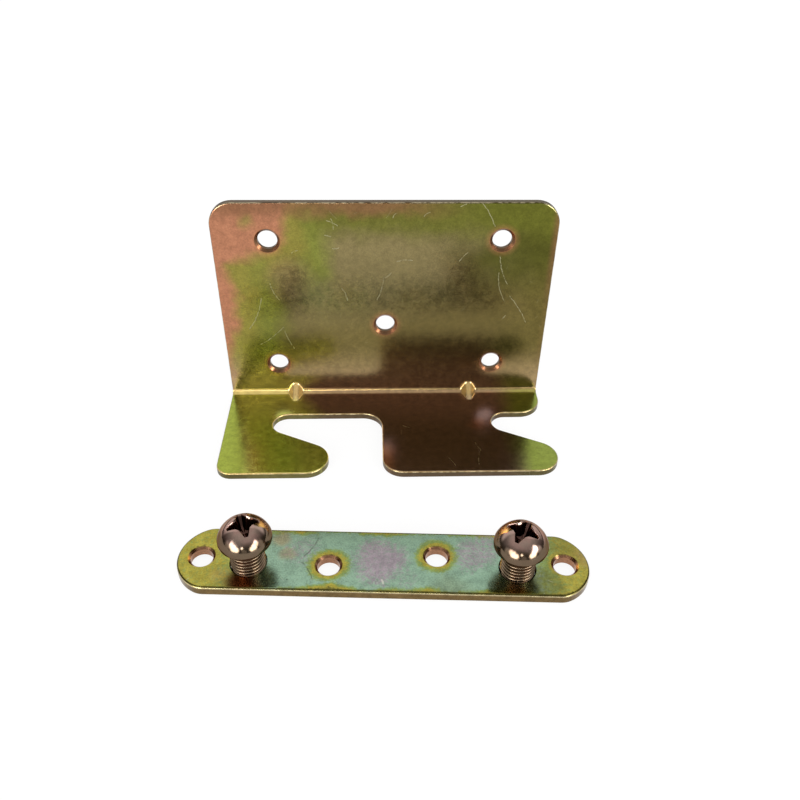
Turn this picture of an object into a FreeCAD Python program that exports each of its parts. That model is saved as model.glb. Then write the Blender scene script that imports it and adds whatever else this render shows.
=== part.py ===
import FreeCAD, Part
import math
import os

import Sketcher

# Bed rail fastener: a folded hook bracket that is screwed to the side rail, a post plate that is
# screwed to the bed post, and the two machine screws in the plate that the hooks drop over.
# Millimetres, +Z up. The origin is the middle of the post plate's mounting face. The plate lies
# face up with its screws upright, and the bracket stands behind it on its hook flange.

SIZES = {
    # Hook bracket, one folded steel sheet
    "sheet_thickness": 1.8,
    "bend_radius": 1.5,
    "bracket_width": 90.0,
    "bracket_height": 61.1,
    "hook_flange_depth": 37.0,
    "top_corner_radius": 6.2,
    "bracket_edge_round": 0.35,
    # Countersunk holes for the rail's wood screws
    "rail_hole_diameter": 5.2,
    "rail_hole_mouth": 6.6,
    "rail_hole_spacing": 61.2,
    "rail_hole_lower_height": 12.2,
    "rail_hole_upper_height": 50.7,
    "rail_hole_middle_height": 25.1,
    # Hooks cut in the lower flange
    "hook_pitch": 61.7,
    "hook_inset": 17.4,
    "slot_clearance": 0.4,
    "slot_back_distance": 12.3,
    "finger_reach": 12.0,
    "finger_tip_radius": 6.0,
    "mouth_clearance": 2.2,
    "notch_corner_radius": 5.5,
    "heel_corner_radius": 5.5,
    "front_corner_radius": 4.0,
    "ear_corner_radius": 6.5,
    # Darts pressed across the fold
    "dart_left": 18.7,
    "dart_spacing": 50.9,
    "dart_leg": 4.3,
    "dart_rise": 3.3,
    "dart_width": 4.6,
    "dart_nose_width": 1.3,
    "dart_groove_width": 1.8,
    "dart_wall": 1.6,
    "dart_foot_radius": 0.6,
    # Post plate
    "plate_length": 95.0,
    "plate_width": 18.0,
    "plate_thickness": 2.3,
    "plate_end_radius": 9.5,
    "plate_corner_radius": 5.0,
    "plate_edge_round": 0.6,
    "plate_hole_diameter": 5.2,
    "plate_hole_mouth": 6.4,
    "plate_end_hole_spacing": 83.8,
    "plate_inner_hole_spacing": 24.8,
    "plate_inner_hole_stagger": 3.34,
    "tapped_hole_offset": 1.3,
    "tapped_hole_mouth": 0.3,
    # Machine screws in the post plate
    "screw_diameter": 8.0,
    "thread_clearance": 0.05,
    "tip_recess": 0.2,
    "tip_chamfer": 0.7,
    "neck_height": 7.5,
    "head_diameter": 12.3,
    "head_height": 5.6,
    "head_rim_height": 1.0,
    "head_edge_round": 0.3,
    "recess_span": 9.2,
    "recess_wing_width": 2.4,
    "recess_core_width": 5.2,
    "recess_depth": 3.5,
    "recess_floor_share": 0.38,
    # How the pieces are laid out
    "plate_turn": -2.85,
    "bracket_shift": 1.5,
    "rail_face_distance": 67.4,
    "left_driver_turn": 20.0,
    "right_driver_turn": 59.0,
}

NEAR = 1e-4

doc = FreeCAD.newDocument("bed_rail_fastener")
sheet = doc.addObject("Spreadsheet::Sheet", "Sizes")
for row, (alias, value) in enumerate(SIZES.items(), start=1):
    sheet.set(f"A{row}", alias)
    sheet.set(f"B{row}", str(value))
    sheet.setAlias(f"B{row}", alias)
doc.recompute()


def size(alias):
    """A driving dimension, read back from the sheet."""
    return float(sheet.get(alias))


def point(x, y):
    """A point of a sketch."""
    return FreeCAD.Vector(x, y, 0)


def new_body(label):
    """An empty body for one sub-part."""
    body = doc.addObject("PartDesign::Body", label)
    body.Label = label
    return body


def new_sketch(body, name, role, height=None):
    """A sketch on one of the body's origin planes, raised by an expression where one is given."""
    sketch = body.newObject("Sketcher::SketchObject", name)
    plane = next(feature for feature in body.Origin.OriginFeatures if feature.Role == role)
    sketch.AttachmentSupport = [(plane, "")]
    sketch.MapMode = "FlatFace"
    if height:
        sketch.setExpression("AttachmentOffset.Base.z", height)
    return sketch


def new_feature(body, kind, name, bound=(), **values):
    """A feature at the tip of a body. Bound pairs give a property and its expression."""
    feature = body.newObject(f"PartDesign::{kind}", name)
    for key, value in values.items():
        setattr(feature, key, value)
    for key, expression in bound:
        feature.setExpression(key, expression)
    return feature


def line(sketch, start, end):
    return sketch.addGeometry(Part.LineSegment(point(*start), point(*end)), False)


def arc(sketch, centre, radius, first_degrees, last_degrees):
    """A counter-clockwise arc."""
    circle = Part.Circle(point(*centre), FreeCAD.Vector(0, 0, 1), radius)
    first = math.radians(first_degrees)
    last = math.radians(last_degrees)
    return sketch.addGeometry(Part.ArcOfCircle(circle, first, last), False)


def end_of(sketch, index, other):
    """Which end of one curve, start 1 or end 2, meets the other curve."""
    curve = sketch.Geometry[index]
    neighbour = sketch.Geometry[other]
    ends = {1: curve.StartPoint, 2: curve.EndPoint}
    targets = (neighbour.StartPoint, neighbour.EndPoint)
    return min(ends, key=lambda key: min(ends[key].distanceToPoint(target) for target in targets))


def join(sketch, first, second):
    """Joins two neighbours of an outline: smoothly where one of them is an arc that is tangent."""
    first_end = end_of(sketch, first, second)
    second_end = end_of(sketch, second, first)
    kinds = {type(sketch.Geometry[first]), type(sketch.Geometry[second])}
    kind = "Tangent" if len(kinds) == 2 else "Coincident"
    sketch.addConstraint(Sketcher.Constraint(kind, first, first_end, second, second_end))


def close(sketch, outline):
    """Joins the curves of a closed outline in order."""
    for first, second in zip(outline, outline[1:] + outline[:1]):
        join(sketch, first, second)


def level(sketch, *lines):
    for index in lines:
        sketch.addConstraint(Sketcher.Constraint("Horizontal", index))


def upright(sketch, *lines):
    for index in lines:
        sketch.addConstraint(Sketcher.Constraint("Vertical", index))


def bind(sketch, name, expression, kind, *places):
    """A dimension of a sketch that takes its value from the sheet."""
    start = float(sketch.evalExpression(expression))
    number = sketch.addConstraint(Sketcher.Constraint(kind, *places, start))
    sketch.renameConstraint(number, name)
    sketch.setExpression(f"Constraints.{name}", expression)


def polygon(sketch, corners):
    """A closed outline of straight edges through corners given as pairs of expressions."""
    places = []
    for across, up in corners:
        places.append((float(sketch.evalExpression(across)), float(sketch.evalExpression(up))))
    edges = [line(sketch, start, end) for start, end in zip(places, places[1:] + places[:1])]
    close(sketch, edges)
    for number, (across, up) in enumerate(corners):
        bind(sketch, f"across_{number}", across, "DistanceX", -1, 1, edges[number], 1)
        bind(sketch, f"up_{number}", up, "DistanceY", -1, 1, edges[number], 1)


def round_hole(sketch, name, diameter, x_expression, y_expression):
    """A circle whose centre is at two expressions, either of which may be negative."""
    x = float(sketch.evalExpression(x_expression))
    y = float(sketch.evalExpression(y_expression))
    radius = float(sketch.evalExpression(diameter)) / 2
    circle = sketch.addGeometry(Part.Circle(point(x, y), FreeCAD.Vector(0, 0, 1), radius), False)
    bind(sketch, f"{name}_diameter", diameter, "Diameter", circle)
    bind(sketch, f"{name}_x", x_expression, "DistanceX", -1, 1, circle, 3)
    bind(sketch, f"{name}_y", y_expression, "DistanceY", -1, 1, circle, 3)
    return circle


def edge_names(feature, wanted):
    """Names of a feature's edges that pass a test."""
    return [f"Edge{number}" for number, edge in enumerate(feature.Shape.Edges, start=1) if wanted(edge)]


def dress(body, kind, name, wanted, expression):
    """A fillet or chamfer on those edges of the body's last feature that pass a test."""
    doc.recompute()
    base = body.Tip
    names = edge_names(base, wanted)
    if not names:
        raise RuntimeError(f"{name} found no edge")
    measure = {"Fillet": "Radius", "Chamfer": "Size"}[kind]
    return new_feature(body, kind, name, [(measure, expression)], Base=(base, names))


def lies_at(edge, axis, value):
    """True where a whole edge lies in the plane axis = value."""
    box = edge.BoundBox
    low = getattr(box, f"{axis}Min")
    high = getattr(box, f"{axis}Max")
    return abs(low - value) < NEAR and abs(high - value) < NEAR


def is_circle(edge, radius):
    """True for a whole circle of that radius."""
    if edge.Degenerated or not edge.isClosed():
        return False
    return isinstance(edge.Curve, Part.Circle) and abs(edge.Curve.Radius - radius) < NEAR


# Hook bracket

SHEET = "Sizes.sheet_thickness"
FOLD = "(Sizes.sheet_thickness + Sizes.bend_radius)"
SLOT_RADIUS = "(Sizes.screw_diameter + Sizes.slot_clearance) / 2"
HALF_WIDTH = "Sizes.bracket_width / 2"
# The ear right of the last slot keeps a straight edge, however short it is
EAR_CORNER_SHARE = 0.9
EAR_WALL = "(Sizes.bracket_width - Sizes.hook_inset - Sizes.hook_pitch)"
EAR_CORNER = f"min(Sizes.ear_corner_radius; {EAR_CORNER_SHARE} * {EAR_WALL})"
# How deep a dart's root lies in the sheet, and how little of its legs is left at its two ends,
# which lie hidden in the bend
DART_ROOT_SHARE = 0.75
DART_END_SHARE = 0.15
# How much of its nose's width rounds a ridge, and of its own width a groove's floor
DART_RIDGE_SHARE = 0.6
DART_GROOVE_SHARE = 0.45


def draw_fold(body):
    """Section of the fold: a quarter ring between the two flanges."""
    sketch = new_sketch(body, "fold_section", "YZ_Plane")
    inner = size("bend_radius")
    outer = inner + size("sheet_thickness")
    centre = (-outer, outer)
    inside = arc(sketch, centre, inner, -90, 0)
    outside = arc(sketch, centre, outer, -90, 0)
    lower = line(sketch, (-outer, 0), (-outer, outer - inner))
    upper = line(sketch, (inner - outer, outer), (0, outer))
    sketch.addConstraint(Sketcher.Constraint("Coincident", inside, 3, outside, 3))
    for curve, start, finish in ((inside, 2, 1), (outside, 1, 2)):
        sketch.addConstraint(Sketcher.Constraint("Coincident", lower, start, curve, 1))
        sketch.addConstraint(Sketcher.Constraint("Coincident", upper, finish, curve, 2))
    upright(sketch, lower)
    level(sketch, upper)
    bind(sketch, "inside_radius", "Sizes.bend_radius", "Radius", inside)
    bind(sketch, "outside_radius", FOLD, "Radius", outside)
    bind(sketch, "centre_y", FOLD, "DistanceX", outside, 3, -1, 1)
    bind(sketch, "centre_z", FOLD, "DistanceY", -1, 1, outside, 3)
    return sketch


def draw_rail_flange(body):
    """Outline of the upright flange with the rail's five screw holes."""
    sketch = new_sketch(body, "rail_flange_outline", "XZ_Plane")
    half = size("bracket_width") / 2
    top = size("bracket_height")
    low = size("sheet_thickness") + size("bend_radius")
    corner = size("top_corner_radius")
    base = line(sketch, (-half, low), (half, low))
    right = line(sketch, (half, low), (half, top - corner))
    right_corner = arc(sketch, (half - corner, top - corner), corner, 0, 90)
    upper = line(sketch, (half - corner, top), (corner - half, top))
    left_corner = arc(sketch, (corner - half, top - corner), corner, 90, 180)
    left = line(sketch, (-half, top - corner), (-half, low))
    close(sketch, [base, right, right_corner, upper, left_corner, left])
    level(sketch, base, upper)
    upright(sketch, right, left)
    bind(sketch, "corner", "Sizes.top_corner_radius", "Radius", right_corner)
    sketch.addConstraint(Sketcher.Constraint("Equal", right_corner, left_corner))
    bind(sketch, "half_width", HALF_WIDTH, "DistanceX", -1, 1, base, 2)
    bind(sketch, "width", "Sizes.bracket_width", "DistanceX", base, 1, base, 2)
    bind(sketch, "low", FOLD, "DistanceY", -1, 1, base, 1)
    bind(sketch, "height", "Sizes.bracket_height", "DistanceY", -1, 1, upper, 1)
    half_spacing = "Sizes.rail_hole_spacing / 2"
    for side, x in (("left", f"-{half_spacing}"), ("right", half_spacing)):
        for row in ("lower", "upper"):
            height = f"Sizes.rail_hole_{row}_height"
            round_hole(sketch, f"{row}_{side}", "Sizes.rail_hole_diameter", x, height)
    height = "Sizes.rail_hole_middle_height"
    round_hole(sketch, "middle", "Sizes.rail_hole_diameter", "0", height)
    return sketch


def draw_hook(sketch, slot_x, reach, front, back):
    """One hook, from its front edge round the finger's tip and up to the slot's closed end.
    The finger's inner edge is the line that crosses between the two circles and touches both."""
    slot_radius = (size("screw_diameter") + size("slot_clearance")) / 2
    tip_radius = size("finger_tip_radius")
    slot = (slot_x, back - slot_radius)
    tip = (slot_x + reach - tip_radius, front + tip_radius)
    across = tip[0] - slot[0]
    along = tip[1] - slot[1]
    lean = math.asin((slot_radius + tip_radius) / math.hypot(across, along))
    slope = math.degrees(math.atan2(along, across) + lean)
    turn = math.radians(slope + 90)
    normal = (math.cos(turn), math.sin(turn))
    touch_tip = (tip[0] + tip_radius * normal[0], tip[1] + tip_radius * normal[1])
    touch_slot = (slot[0] - slot_radius * normal[0], slot[1] - slot_radius * normal[1])
    tip_arc = arc(sketch, tip, tip_radius, -90, slope + 90)
    inner_edge = line(sketch, touch_tip, touch_slot)
    slot_arc = arc(sketch, slot, slot_radius, 90, slope + 270)
    return tip_arc, inner_edge, slot_arc


def draw_hook_flange(body):
    """Outline of the lower flange with its two hooks, both open to +X."""
    sketch = new_sketch(body, "hook_flange_outline", "XY_Plane")
    half = size("bracket_width") / 2
    fold = -(size("sheet_thickness") + size("bend_radius"))
    front = -size("hook_flange_depth")
    back = -size("slot_back_distance")
    reach = size("finger_reach")
    tip = size("finger_tip_radius")
    front_corner = size("front_corner_radius")
    notch = size("notch_corner_radius")
    heel = size("heel_corner_radius")
    ear = float(sheet.evalExpression(EAR_CORNER))
    left_slot_x = size("hook_inset") - half
    right_slot_x = left_slot_x + size("hook_pitch")
    heel_x = left_slot_x + reach + size("head_diameter") + size("mouth_clearance")

    left_side = line(sketch, (-half, fold), (-half, front + front_corner))
    left_corner = arc(sketch, (front_corner - half, front + front_corner), front_corner, 180, 270)
    left_front = line(sketch, (front_corner - half, front), (left_slot_x + reach - tip, front))
    left_tip, left_inner, left_slot = draw_hook(sketch, left_slot_x, reach, front, back)
    left_back = line(sketch, (left_slot_x, back), (heel_x - notch, back))
    notch_corner = arc(sketch, (heel_x - notch, back - notch), notch, 0, 90)
    heel_side = line(sketch, (heel_x, back - notch), (heel_x, front + heel))
    heel_corner = arc(sketch, (heel_x + heel, front + heel), heel, 180, 270)
    right_front = line(sketch, (heel_x + heel, front), (right_slot_x + reach - tip, front))
    right_tip, right_inner, right_slot = draw_hook(sketch, right_slot_x, reach, front, back)
    right_back = line(sketch, (right_slot_x, back), (half - ear, back))
    ear_corner = arc(sketch, (half - ear, back + ear), ear, -90, 0)
    right_side = line(sketch, (half, back + ear), (half, fold))
    fold_line = line(sketch, (half, fold), (-half, fold))

    close(sketch, [left_side, left_corner, left_front, left_tip, left_inner, left_slot, left_back,
                   notch_corner, heel_side, heel_corner, right_front, right_tip, right_inner,
                   right_slot, right_back, ear_corner, right_side, fold_line])
    level(sketch, left_front, left_back, right_front, right_back, fold_line)
    upright(sketch, left_side, heel_side, right_side)
    bind(sketch, "half_width", HALF_WIDTH, "DistanceX", -1, 1, fold_line, 1)
    bind(sketch, "width", "Sizes.bracket_width", "DistanceX", fold_line, 2, fold_line, 1)
    bind(sketch, "fold", FOLD, "DistanceY", fold_line, 1, -1, 1)
    for name, edge in (("left", left_front), ("right", right_front)):
        bind(sketch, f"{name}_depth", "Sizes.hook_flange_depth", "DistanceY", edge, 1, -1, 1)
    for name, edge in (("left", left_back), ("right", right_back)):
        bind(sketch, f"{name}_back", "Sizes.slot_back_distance", "DistanceY", edge, 1, -1, 1)
    for name, tip_arc, slot_arc in (("left", left_tip, left_slot), ("right", right_tip, right_slot)):
        bind(sketch, f"{name}_tip_radius", "Sizes.finger_tip_radius", "Radius", tip_arc)
        bind(sketch, f"{name}_slot_radius", SLOT_RADIUS, "Radius", slot_arc)
        bind(sketch, f"{name}_reach", "Sizes.finger_reach - Sizes.finger_tip_radius",
             "DistanceX", slot_arc, 3, tip_arc, 3)
    bind(sketch, "inset", "Sizes.hook_inset", "DistanceX", fold_line, 2, left_slot, 3)
    bind(sketch, "pitch", "Sizes.hook_pitch", "DistanceX", left_slot, 3, right_slot, 3)
    bind(sketch, "mouth", "Sizes.finger_reach + Sizes.head_diameter + Sizes.mouth_clearance",
         "DistanceX", left_slot, 3, heel_side, 1)
    for name, corner in (("front", left_corner), ("notch", notch_corner), ("heel", heel_corner)):
        bind(sketch, f"{name}_corner", f"Sizes.{name}_corner_radius", "Radius", corner)
    bind(sketch, "ear_corner", EAR_CORNER, "Radius", ear_corner)
    return sketch


def is_slanted(edge, middle, width):
    """True for a straight edge of a dart that runs down its slope at half a width from its middle."""
    start, end = edge.Vertexes[0].Point, edge.Vertexes[-1].Point
    run = end - start
    beside = abs(abs(start.x - middle) - width / 2) < NEAR and abs(run.x) < NEAR
    sloping = abs(run.y) > NEAR and abs(run.y * size("dart_rise") - run.z * size("dart_leg")) < NEAR
    return isinstance(edge.Curve, Part.Line) and beside and sloping


def is_on_sheet(edge):
    """True where an edge's ends and middle lie on the inside of the L, on a flange or in the bend."""
    thickness = size("sheet_thickness")
    bend = size("bend_radius")
    fold = thickness + bend
    halfway = edge.valueAt((edge.FirstParameter + edge.LastParameter) / 2)
    for spot in (edge.Vertexes[0].Point, halfway, edge.Vertexes[-1].Point):
        on_flange = abs(spot.y + thickness) < NEAR or abs(spot.z - thickness) < NEAR
        in_bend = abs(math.hypot(spot.y + fold, spot.z - fold) - bend) < NEAR
        if not (on_flange or in_bend):
            return False
    return True


def draw_dart(body, name, place, share):
    """One section of a dart: a triangle across the fold, rooted in the sheet, with a share of its legs."""
    root = f"{DART_ROOT_SHARE} * Sizes.sheet_thickness"
    sunk = f"{1 - DART_ROOT_SHARE} * Sizes.sheet_thickness"
    leg = f"Sizes.sheet_thickness + {share} * Sizes.dart_leg + {sunk} * Sizes.dart_leg / Sizes.dart_rise"
    rise = f"Sizes.sheet_thickness + {share} * Sizes.dart_rise + {sunk} * Sizes.dart_rise / Sizes.dart_leg"
    sketch = new_sketch(body, name, "YZ_Plane", place)
    polygon(sketch, [(f"-({leg})", root), (f"-{root}", root), (f"-{root}", rise)])
    return sketch


def press_dart(body, side, place):
    """A hipped rib pressed across the inside of the fold, and the groove the punch left behind it."""
    nose = "Sizes.dart_nose_width / 2"
    end = "Sizes.dart_width / 2"
    stations = ((f"{place} - {end}", DART_END_SHARE), (f"{place} - {nose}", 1),
                (f"{place} + {nose}", 1), (f"{place} + {end}", DART_END_SHARE))
    sections = []
    for number, (station, share) in enumerate(stations):
        sections.append(draw_dart(body, f"{side}_dart_section_{number}", station, share))
    new_feature(body, "AdditiveLoft", f"{side}_dart", Profile=sections[0], Sections=sections[1:], Ruled=True)
    middle = float(sheet.evalExpression(place))
    dress(body, "Fillet", f"{side}_dart_ridge",
          lambda edge: is_slanted(edge, middle, size("dart_nose_width")),
          f"{DART_RIDGE_SHARE} * Sizes.dart_nose_width")

    def is_foot(edge):
        beside = abs(edge.CenterOfMass.x - middle) < size("dart_width") / 2
        low = edge.BoundBox.ZMax < size("sheet_thickness") + size("dart_rise") + NEAR
        near = edge.BoundBox.YMin > -size("sheet_thickness") - size("dart_leg") - NEAR
        return beside and low and near and is_on_sheet(edge)

    dress(body, "Fillet", f"{side}_dart_foot", is_foot, "Sizes.dart_foot_radius")

    # The groove's floor runs along the ridge, one wall below it
    floor = "(1 - Sizes.dart_wall * sqrt(1 / Sizes.dart_leg ^ 2 + 1 / Sizes.dart_rise ^ 2))"
    leg = f"{SHEET} + Sizes.dart_leg * ({floor} + 2 * {SHEET} / Sizes.dart_rise)"
    rise = f"{SHEET} + Sizes.dart_rise * ({floor} + 2 * {SHEET} / Sizes.dart_leg)"
    groove = new_sketch(body, f"{side}_groove_section", "YZ_Plane", place)
    polygon(groove, [(f"-({leg})", f"-{SHEET}"), (SHEET, f"-{SHEET}"), (SHEET, rise)])
    new_feature(body, "Pocket", f"{side}_groove", [("Length", "Sizes.dart_groove_width")], Profile=groove,
                SideType="Symmetric")
    dress(body, "Fillet", f"{side}_groove_floor",
          lambda edge: is_slanted(edge, middle, size("dart_groove_width")),
          f"{DART_GROOVE_SHARE} * Sizes.dart_groove_width")


def make_hook_bracket():
    """One sheet folded to an L, with the hooks in its lower flange."""
    body = new_body("hook_bracket")
    thickness = size("sheet_thickness")
    bend = size("bend_radius")
    hole_radius = size("rail_hole_diameter") / 2
    new_feature(body, "Pad", "fold", [("Length", "Sizes.bracket_width")], Profile=draw_fold(body),
                SideType="Symmetric")
    new_feature(body, "Pad", "rail_flange", [("Length", SHEET)], Profile=draw_rail_flange(body))
    new_feature(body, "Pad", "hook_flange", [("Length", SHEET)], Profile=draw_hook_flange(body))

    def is_outline(edge):
        rail = lies_at(edge, "Y", -thickness) and not lies_at(edge, "Z", thickness + bend)
        hooks = lies_at(edge, "Z", thickness) and not lies_at(edge, "Y", -thickness - bend)
        fold_end = edge.BoundBox.XLength < NEAR and isinstance(edge.Curve, Part.Circle)
        inner_fold = fold_end and abs(edge.Curve.Radius - bend) < NEAR
        return (rail and not is_circle(edge, hole_radius)) or hooks or inner_fold

    # The stamped edges are rounded on the inside of the L, where the punch went in
    dress(body, "Fillet", "stamped_edges", is_outline, "Sizes.bracket_edge_round")
    dress(body, "Chamfer", "countersinks",
          lambda edge: is_circle(edge, hole_radius) and lies_at(edge, "Y", -thickness),
          "(Sizes.rail_hole_mouth - Sizes.rail_hole_diameter) / 2")
    first_dart = "Sizes.dart_left - Sizes.bracket_width / 2"
    press_dart(body, "left", first_dart)
    press_dart(body, "right", f"{first_dart} + Sizes.dart_spacing")
    body.setExpression("Placement.Base.x", "Sizes.bracket_shift")
    body.setExpression("Placement.Base.y", "Sizes.rail_face_distance")
    return body


# Post plate

# An end's arc spans the whole width, so it is always a little flatter than a half circle
END_ARC_SHARE = 0.51
END_RADIUS = f"max(Sizes.plate_end_radius; {END_ARC_SHARE} * Sizes.plate_width)"
# The mouths of an end hole and of the tapped hole beside it share the wall between the two
MOUTH_SHARE = 0.4
TAPPED_RADIUS = "(Sizes.screw_diameter / 2 + Sizes.thread_clearance)"
HOLE_PITCH = "(Sizes.plate_end_hole_spacing - Sizes.hook_pitch) / 2"
MOUTH_ROOM = f"{MOUTH_SHARE} * ({HOLE_PITCH} - {TAPPED_RADIUS} - Sizes.plate_hole_diameter / 2)"
PLAIN_MOUTH = f"min((Sizes.plate_hole_mouth - Sizes.plate_hole_diameter) / 2; {MOUTH_ROOM})"
TAPPED_MOUTH = f"min(Sizes.tapped_hole_mouth; {MOUTH_ROOM})"


def draw_plate(body):
    """Outline of the post plate: two long straight edges and two wide arcs for its ends."""
    sketch = new_sketch(body, "plate_outline", "XY_Plane")
    half_width = size("plate_width") / 2
    radius = float(sheet.evalExpression(END_RADIUS))
    centre = size("plate_length") / 2 - radius
    swing = math.degrees(math.asin(half_width / radius))
    reach = centre + math.sqrt(radius ** 2 - half_width ** 2)
    near = line(sketch, (-reach, -half_width), (reach, -half_width))
    right = arc(sketch, (centre, 0), radius, -swing, swing)
    far = line(sketch, (reach, half_width), (-reach, half_width))
    left = arc(sketch, (-centre, 0), radius, 180 - swing, 180 + swing)
    outline = [near, right, far, left]
    for first, second in zip(outline, outline[1:] + outline[:1]):
        sketch.addConstraint(Sketcher.Constraint("Coincident", first, 2, second, 1))
    level(sketch, near, far)
    bind(sketch, "half_width", "Sizes.plate_width / 2", "DistanceY", near, 1, -1, 1)
    bind(sketch, "width", "Sizes.plate_width", "DistanceY", near, 1, far, 1)
    for name, end, places in (("right", right, (-1, 1, right, 3)), ("left", left, (left, 3, -1, 1))):
        bind(sketch, f"{name}_radius", END_RADIUS, "Radius", end)
        bind(sketch, f"{name}_centre", f"Sizes.plate_length / 2 - {END_RADIUS}", "DistanceX", *places)
        sketch.addConstraint(Sketcher.Constraint("PointOnObject", end, 3, -1))
    return sketch


def draw_plate_holes(body):
    """The post's four screw holes and the two tapped holes between them."""
    sketch = new_sketch(body, "plate_holes", "XY_Plane")
    plain = "Sizes.plate_hole_diameter"
    tapped = f"2 * {TAPPED_RADIUS}"
    stagger = "Sizes.plate_inner_hole_stagger / 2"
    for side, sign in (("left", "-"), ("right", "")):
        round_hole(sketch, f"{side}_end", plain, f"{sign}Sizes.plate_end_hole_spacing / 2", "0")
        round_hole(sketch, f"{side}_inner", plain, f"{sign}Sizes.plate_inner_hole_spacing / 2",
                   f"{sign}{stagger}")
        round_hole(sketch, f"{side}_tapped", tapped, f"{sign}Sizes.hook_pitch / 2",
                   "-Sizes.tapped_hole_offset")
    return sketch


def make_post_plate():
    """The flat plate that is screwed to the bed post."""
    body = new_body("post_plate")
    thickness = size("plate_thickness")
    plain_radius = size("plate_hole_diameter") / 2
    tapped_radius = float(sheet.evalExpression(TAPPED_RADIUS))
    new_feature(body, "Pad", "plate_blank", [("Length", "Sizes.plate_thickness")],
                Profile=draw_plate(body))

    def is_corner(edge):
        return edge.BoundBox.XLength < NEAR and edge.BoundBox.YLength < NEAR

    dress(body, "Fillet", "plate_corners", is_corner, "Sizes.plate_corner_radius")
    dress(body, "Fillet", "plate_edges", lambda edge: lies_at(edge, "Z", thickness),
          "Sizes.plate_edge_round")
    new_feature(body, "Pocket", "plate_drilling", Profile=draw_plate_holes(body), Type="ThroughAll",
                Reversed=True)
    dress(body, "Chamfer", "plate_hole_mouths",
          lambda edge: is_circle(edge, plain_radius) and lies_at(edge, "Z", thickness), PLAIN_MOUTH)
    dress(body, "Chamfer", "tapped_hole_mouths",
          lambda edge: is_circle(edge, tapped_radius) and lies_at(edge, "Z", thickness), TAPPED_MOUTH)
    body.setExpression("Placement.Rotation.Angle", "Sizes.plate_turn * 1 deg")
    return body


# Machine screws

HEAD_SEAT = "(Sizes.plate_thickness + Sizes.neck_height)"
HEAD_TOP = "(Sizes.plate_thickness + Sizes.neck_height + Sizes.head_height)"


def draw_screw(body):
    """Half section of a screw: chamfered tip, plain shank at the thread's diameter, domed head."""
    sketch = new_sketch(body, "screw_section", "XZ_Plane")
    shank = size("screw_diameter") / 2
    head = size("head_diameter") / 2
    tip = size("tip_recess")
    chamfer = size("tip_chamfer")
    seat = size("plate_thickness") + size("neck_height")
    rim = seat + size("head_rim_height")
    crown = seat + size("head_height")
    rise = crown - rim
    dome = (head ** 2 + rise ** 2) / (2 * rise)
    rim_degrees = math.degrees(math.atan2(rim - crown + dome, head))

    axis = line(sketch, (0, crown), (0, tip))
    end = line(sketch, (0, tip), (shank - chamfer, tip))
    bevel = line(sketch, (shank - chamfer, tip), (shank, tip + chamfer))
    side = line(sketch, (shank, tip + chamfer), (shank, seat))
    under = line(sketch, (shank, seat), (head, seat))
    edge = line(sketch, (head, seat), (head, rim))
    top = arc(sketch, (0, crown - dome), dome, rim_degrees, 90)
    outline = [axis, end, bevel, side, under, edge]
    for first, second in zip(outline, outline[1:]):
        sketch.addConstraint(Sketcher.Constraint("Coincident", first, 2, second, 1))
    sketch.addConstraint(Sketcher.Constraint("Coincident", edge, 2, top, 1))
    sketch.addConstraint(Sketcher.Constraint("Coincident", top, 2, axis, 1))
    sketch.addConstraint(Sketcher.Constraint("PointOnObject", axis, 1, -2))
    sketch.addConstraint(Sketcher.Constraint("PointOnObject", top, 3, -2))
    upright(sketch, axis, side, edge)
    level(sketch, end, under)
    bind(sketch, "tip", "Sizes.tip_recess", "DistanceY", -1, 1, axis, 2)
    bind(sketch, "bevel_across", "Sizes.tip_chamfer", "DistanceX", bevel, 1, bevel, 2)
    bind(sketch, "bevel_up", "Sizes.tip_chamfer", "DistanceY", bevel, 1, bevel, 2)
    bind(sketch, "shank", "Sizes.screw_diameter / 2", "DistanceX", -1, 1, side, 2)
    bind(sketch, "seat", HEAD_SEAT, "DistanceY", -1, 1, under, 1)
    bind(sketch, "head", "Sizes.head_diameter / 2", "DistanceX", -1, 1, edge, 1)
    bind(sketch, "rim", "Sizes.head_rim_height", "DistanceY", edge, 1, edge, 2)
    bind(sketch, "crown", "Sizes.head_height", "DistanceY", edge, 1, axis, 1)
    return sketch


def draw_recess(body, name, height, share):
    """One section of the cross recess: four wings and a core, at a share of their full width."""
    sketch = new_sketch(body, name, "XY_Plane", height)
    span = f"Sizes.recess_span / 2 * {share}"
    wing = f"Sizes.recess_wing_width / 2 * {share}"
    core = f"Sizes.recess_core_width / 2 * {share}"
    quarter = [(span, wing), (core, wing), (wing, core), (wing, span)]
    corners = []
    for across_sign, up_sign in (("", ""), ("-", ""), ("-", "-"), ("", "-")):
        ordered = quarter if across_sign == up_sign else quarter[::-1]
        corners += [(across_sign + across, up_sign + up) for across, up in ordered]
    polygon(sketch, corners)
    return sketch


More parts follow.
